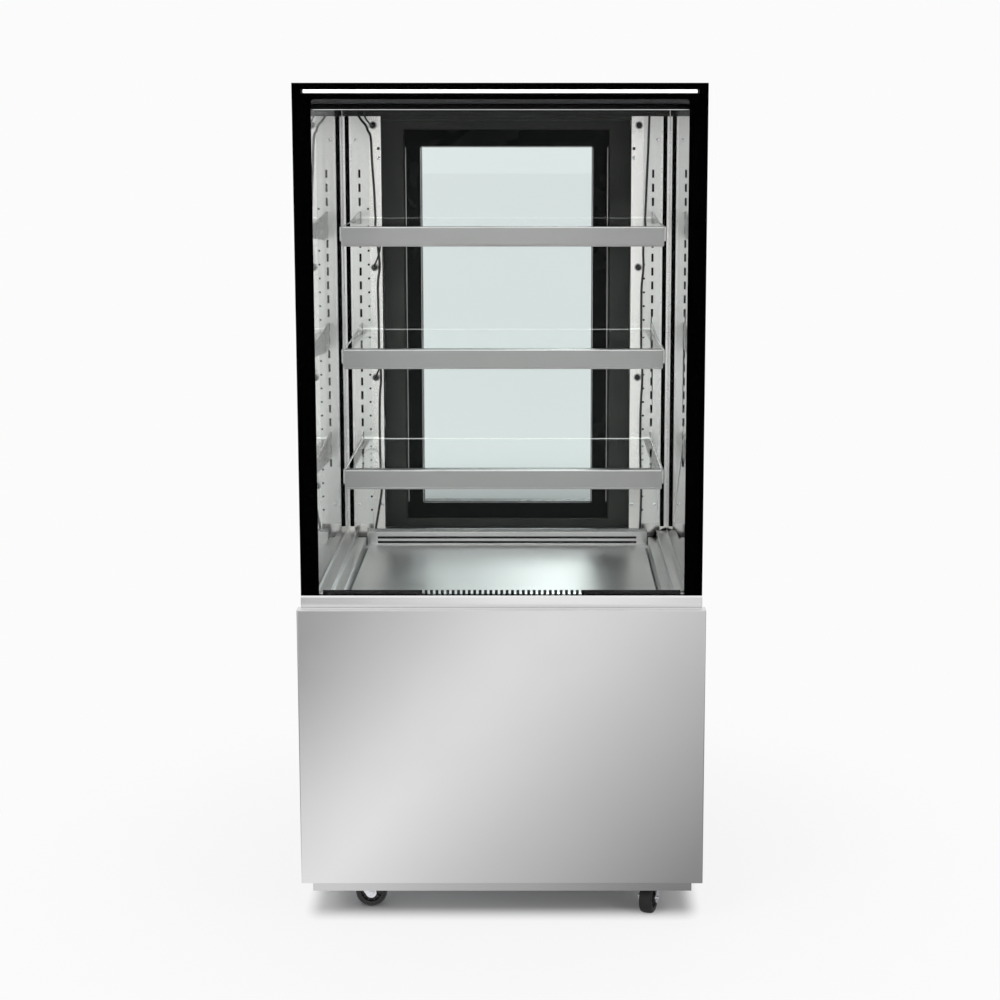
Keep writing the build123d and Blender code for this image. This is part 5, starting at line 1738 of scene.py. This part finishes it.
links.new(shown_glow.outputs[0], with_shadow.inputs["Fac"])
links.new(plain.outputs["BSDF"], with_shadow.inputs[1])
links.new(glow.outputs["Emission"], with_shadow.inputs[2])
links.new(ray.outputs["Is Glossy Ray"], with_card.inputs["Fac"])
links.new(with_shadow.outputs["Shader"], with_card.inputs[1])
links.new(card.outputs["Emission"], with_card.inputs[2])
links.new(with_card.outputs["Shader"], output.inputs["Surface"])
floor_mesh.materials.append(floor_finish)
print("floor reaches", floor_reach)

# %% [markdown]
# Only the ground under and close round the case is lit plainly, so the shadow stays, and its share fades
# out to the glow of the paper. The fade is a product of soft steps in X and Y, and a faint wider ring
# joins the two.


# %% Where the floor is lit
def soft_step(tree, source, nothing_at, all_at):
    """Rises softly from 0 at one value of the source to 1 at another."""
    step = add_node(
        tree,
        "ShaderNodeMapRange",
        {"From Min": nothing_at, "From Max": all_at},
        interpolation_type="SMOOTHSTEP",
    )
    tree.links.new(source, step.inputs["Value"])
    return step.outputs["Result"]


def joined_by(tree, operation, first, second):
    """Joins two sockets, or a socket and a number, with a Math node."""
    node = add_node(tree, "ShaderNodeMath", operation=operation)
    for number, value in enumerate((first, second)):
        if isinstance(value, float):
            node.inputs[number].default_value = value
        else:
            tree.links.new(value, node.inputs[number])
    return node.outputs[0]


place = add_node(tree, "ShaderNodeTexCoord")
apart = add_node(tree, "ShaderNodeSeparateXYZ")
links.new(place.outputs["Object"], apart.inputs["Vector"])
floor_x = apart.outputs["X"]
floor_y = apart.outputs["Y"]
off_middle = add_node(tree, "ShaderNodeMath", operation="ABSOLUTE")
links.new(floor_x, off_middle.inputs[0])
within_sides = soft_step(tree, off_middle.outputs[0], 0.345, 0.300)
behind_front = soft_step(tree, floor_y, -0.332, -0.252)
before_rear = soft_step(tree, floor_y, 0.330, 0.240)
across_and_front = joined_by(tree, "MULTIPLY", within_sides, behind_front)
under_case = joined_by(tree, "MULTIPLY", across_and_front, before_rear)
away = add_node(tree, "ShaderNodeVectorMath", operation="LENGTH")
links.new(place.outputs["Object"], away.inputs[0])
distance = away.outputs["Value"]
faint_ring = joined_by(tree, "MULTIPLY", soft_step(tree, distance, 1.0, 0.4), 0.12)
lit_share = joined_by(tree, "MAXIMUM", under_case, faint_ring)
links.new(joined_by(tree, "SUBTRACT", 1.0, lit_share), shown_glow.inputs[1])
print("floor lit under the case, with a faint ring round it")

# %% [markdown]
# Brushed metal shows what lies in front of it, softly. A studio lays a toned card there: bright in the
# middle and falling off evenly to both sides, in rays that leave one point behind the case. Five tones
# are enough for that. Only glossy rays meet the card, so it shades the front panel, the sill and the
# plinth without showing on the floor. Farther out it levels to an even pale tone.

# %% Card on the floor
fan_point_x = -1.076
fan_point_y = 2.63
least_depth = 1.5
widest_slant = 0.5
ray_x = joined_by(tree, "ADD", floor_x, -fan_point_x)
before_point = joined_by(tree, "SUBTRACT", fan_point_y, floor_y)
ray_y = joined_by(tree, "MAXIMUM", before_point, least_depth)
slant = joined_by(tree, "DIVIDE", ray_x, ray_y)
scaled = joined_by(tree, "DIVIDE", slant, widest_slant)
card_tone = add_node(tree, "ShaderNodeValToRGB")
tones = card_tone.color_ramp
card_stops = (
    (0.10, 0.35),
    (0.20, 0.95),
    (0.24, 1.05),
    (0.32, 0.72),
    (0.44, 0.32),
)
for number, (position, level) in enumerate(card_stops):
    stop = tones.elements[number] if number < 2 else tones.elements.new(position / widest_slant)
    stop.position = position / widest_slant
    stop.color = (level, level, level, 1)
links.new(scaled, card_tone.inputs["Fac"])
far_card = add_node(tree, "ShaderNodeMix", data_type="RGBA")
far_card.inputs[7].default_value = (0.9, 0.9, 0.9, 1)
links.new(soft_step(tree, distance, 2.8, 4.5), far_card.inputs[0])
links.new(card_tone.outputs["Color"], far_card.inputs[6])
links.new(far_card.outputs[2], card.inputs["Color"])
print("card with", len(card_stops), "tones")

# %% [markdown]
# Four soft lamps give plain light. The strongest stands at the front left, and weaker ones at the right,
# above and behind. They stay out of reflections, so no bright square shows on the metal or the glass. A
# double pane has many surfaces, and a ray through the whole case needs more bounces than Cycles allows at
# first.


# %% Lamps
def soft_lamp(name, place, target, size, power):
    """A square lamp of a given side and power that faces its target."""
    lamp = bpy.data.lights.new(name, "AREA")
    lamp.shape = "SQUARE"
    lamp.size = size
    lamp.energy = power
    holder = bpy.data.objects.new(name, lamp)
    holder.location = place
    aim = Vector(target) - Vector(place)
    holder.rotation_euler = aim.to_track_quat("-Z", "Y").to_euler()
    holder.visible_glossy = False
    bpy.context.scene.collection.objects.link(holder)


soft_lamp(
    "key_softbox",
    place=(-1.7, -2.4, 2.7),
    target=(0, 0, 0.7),
    size=1.6,
    power=42,
)
soft_lamp(
    "fill_softbox",
    place=(2.2, -2.0, 1.8),
    target=(0, 0, 0.6),
    size=1.6,
    power=18,
)
soft_lamp(
    "top_softbox",
    place=(0.2, 0.3, 3.4),
    target=(0, 0, 0.8),
    size=2.2,
    power=30,
)
soft_lamp(
    "rear_softbox",
    place=(0.8, 2.8, 2.2),
    target=(0, 0, 0.7),
    size=1.8,
    power=30,
)
cycles = bpy.context.scene.cycles
cycles.max_bounces = 24
cycles.transmission_bounces = 20
cycles.transparent_max_bounces = 32
print("lamps:", len(bpy.data.lights))
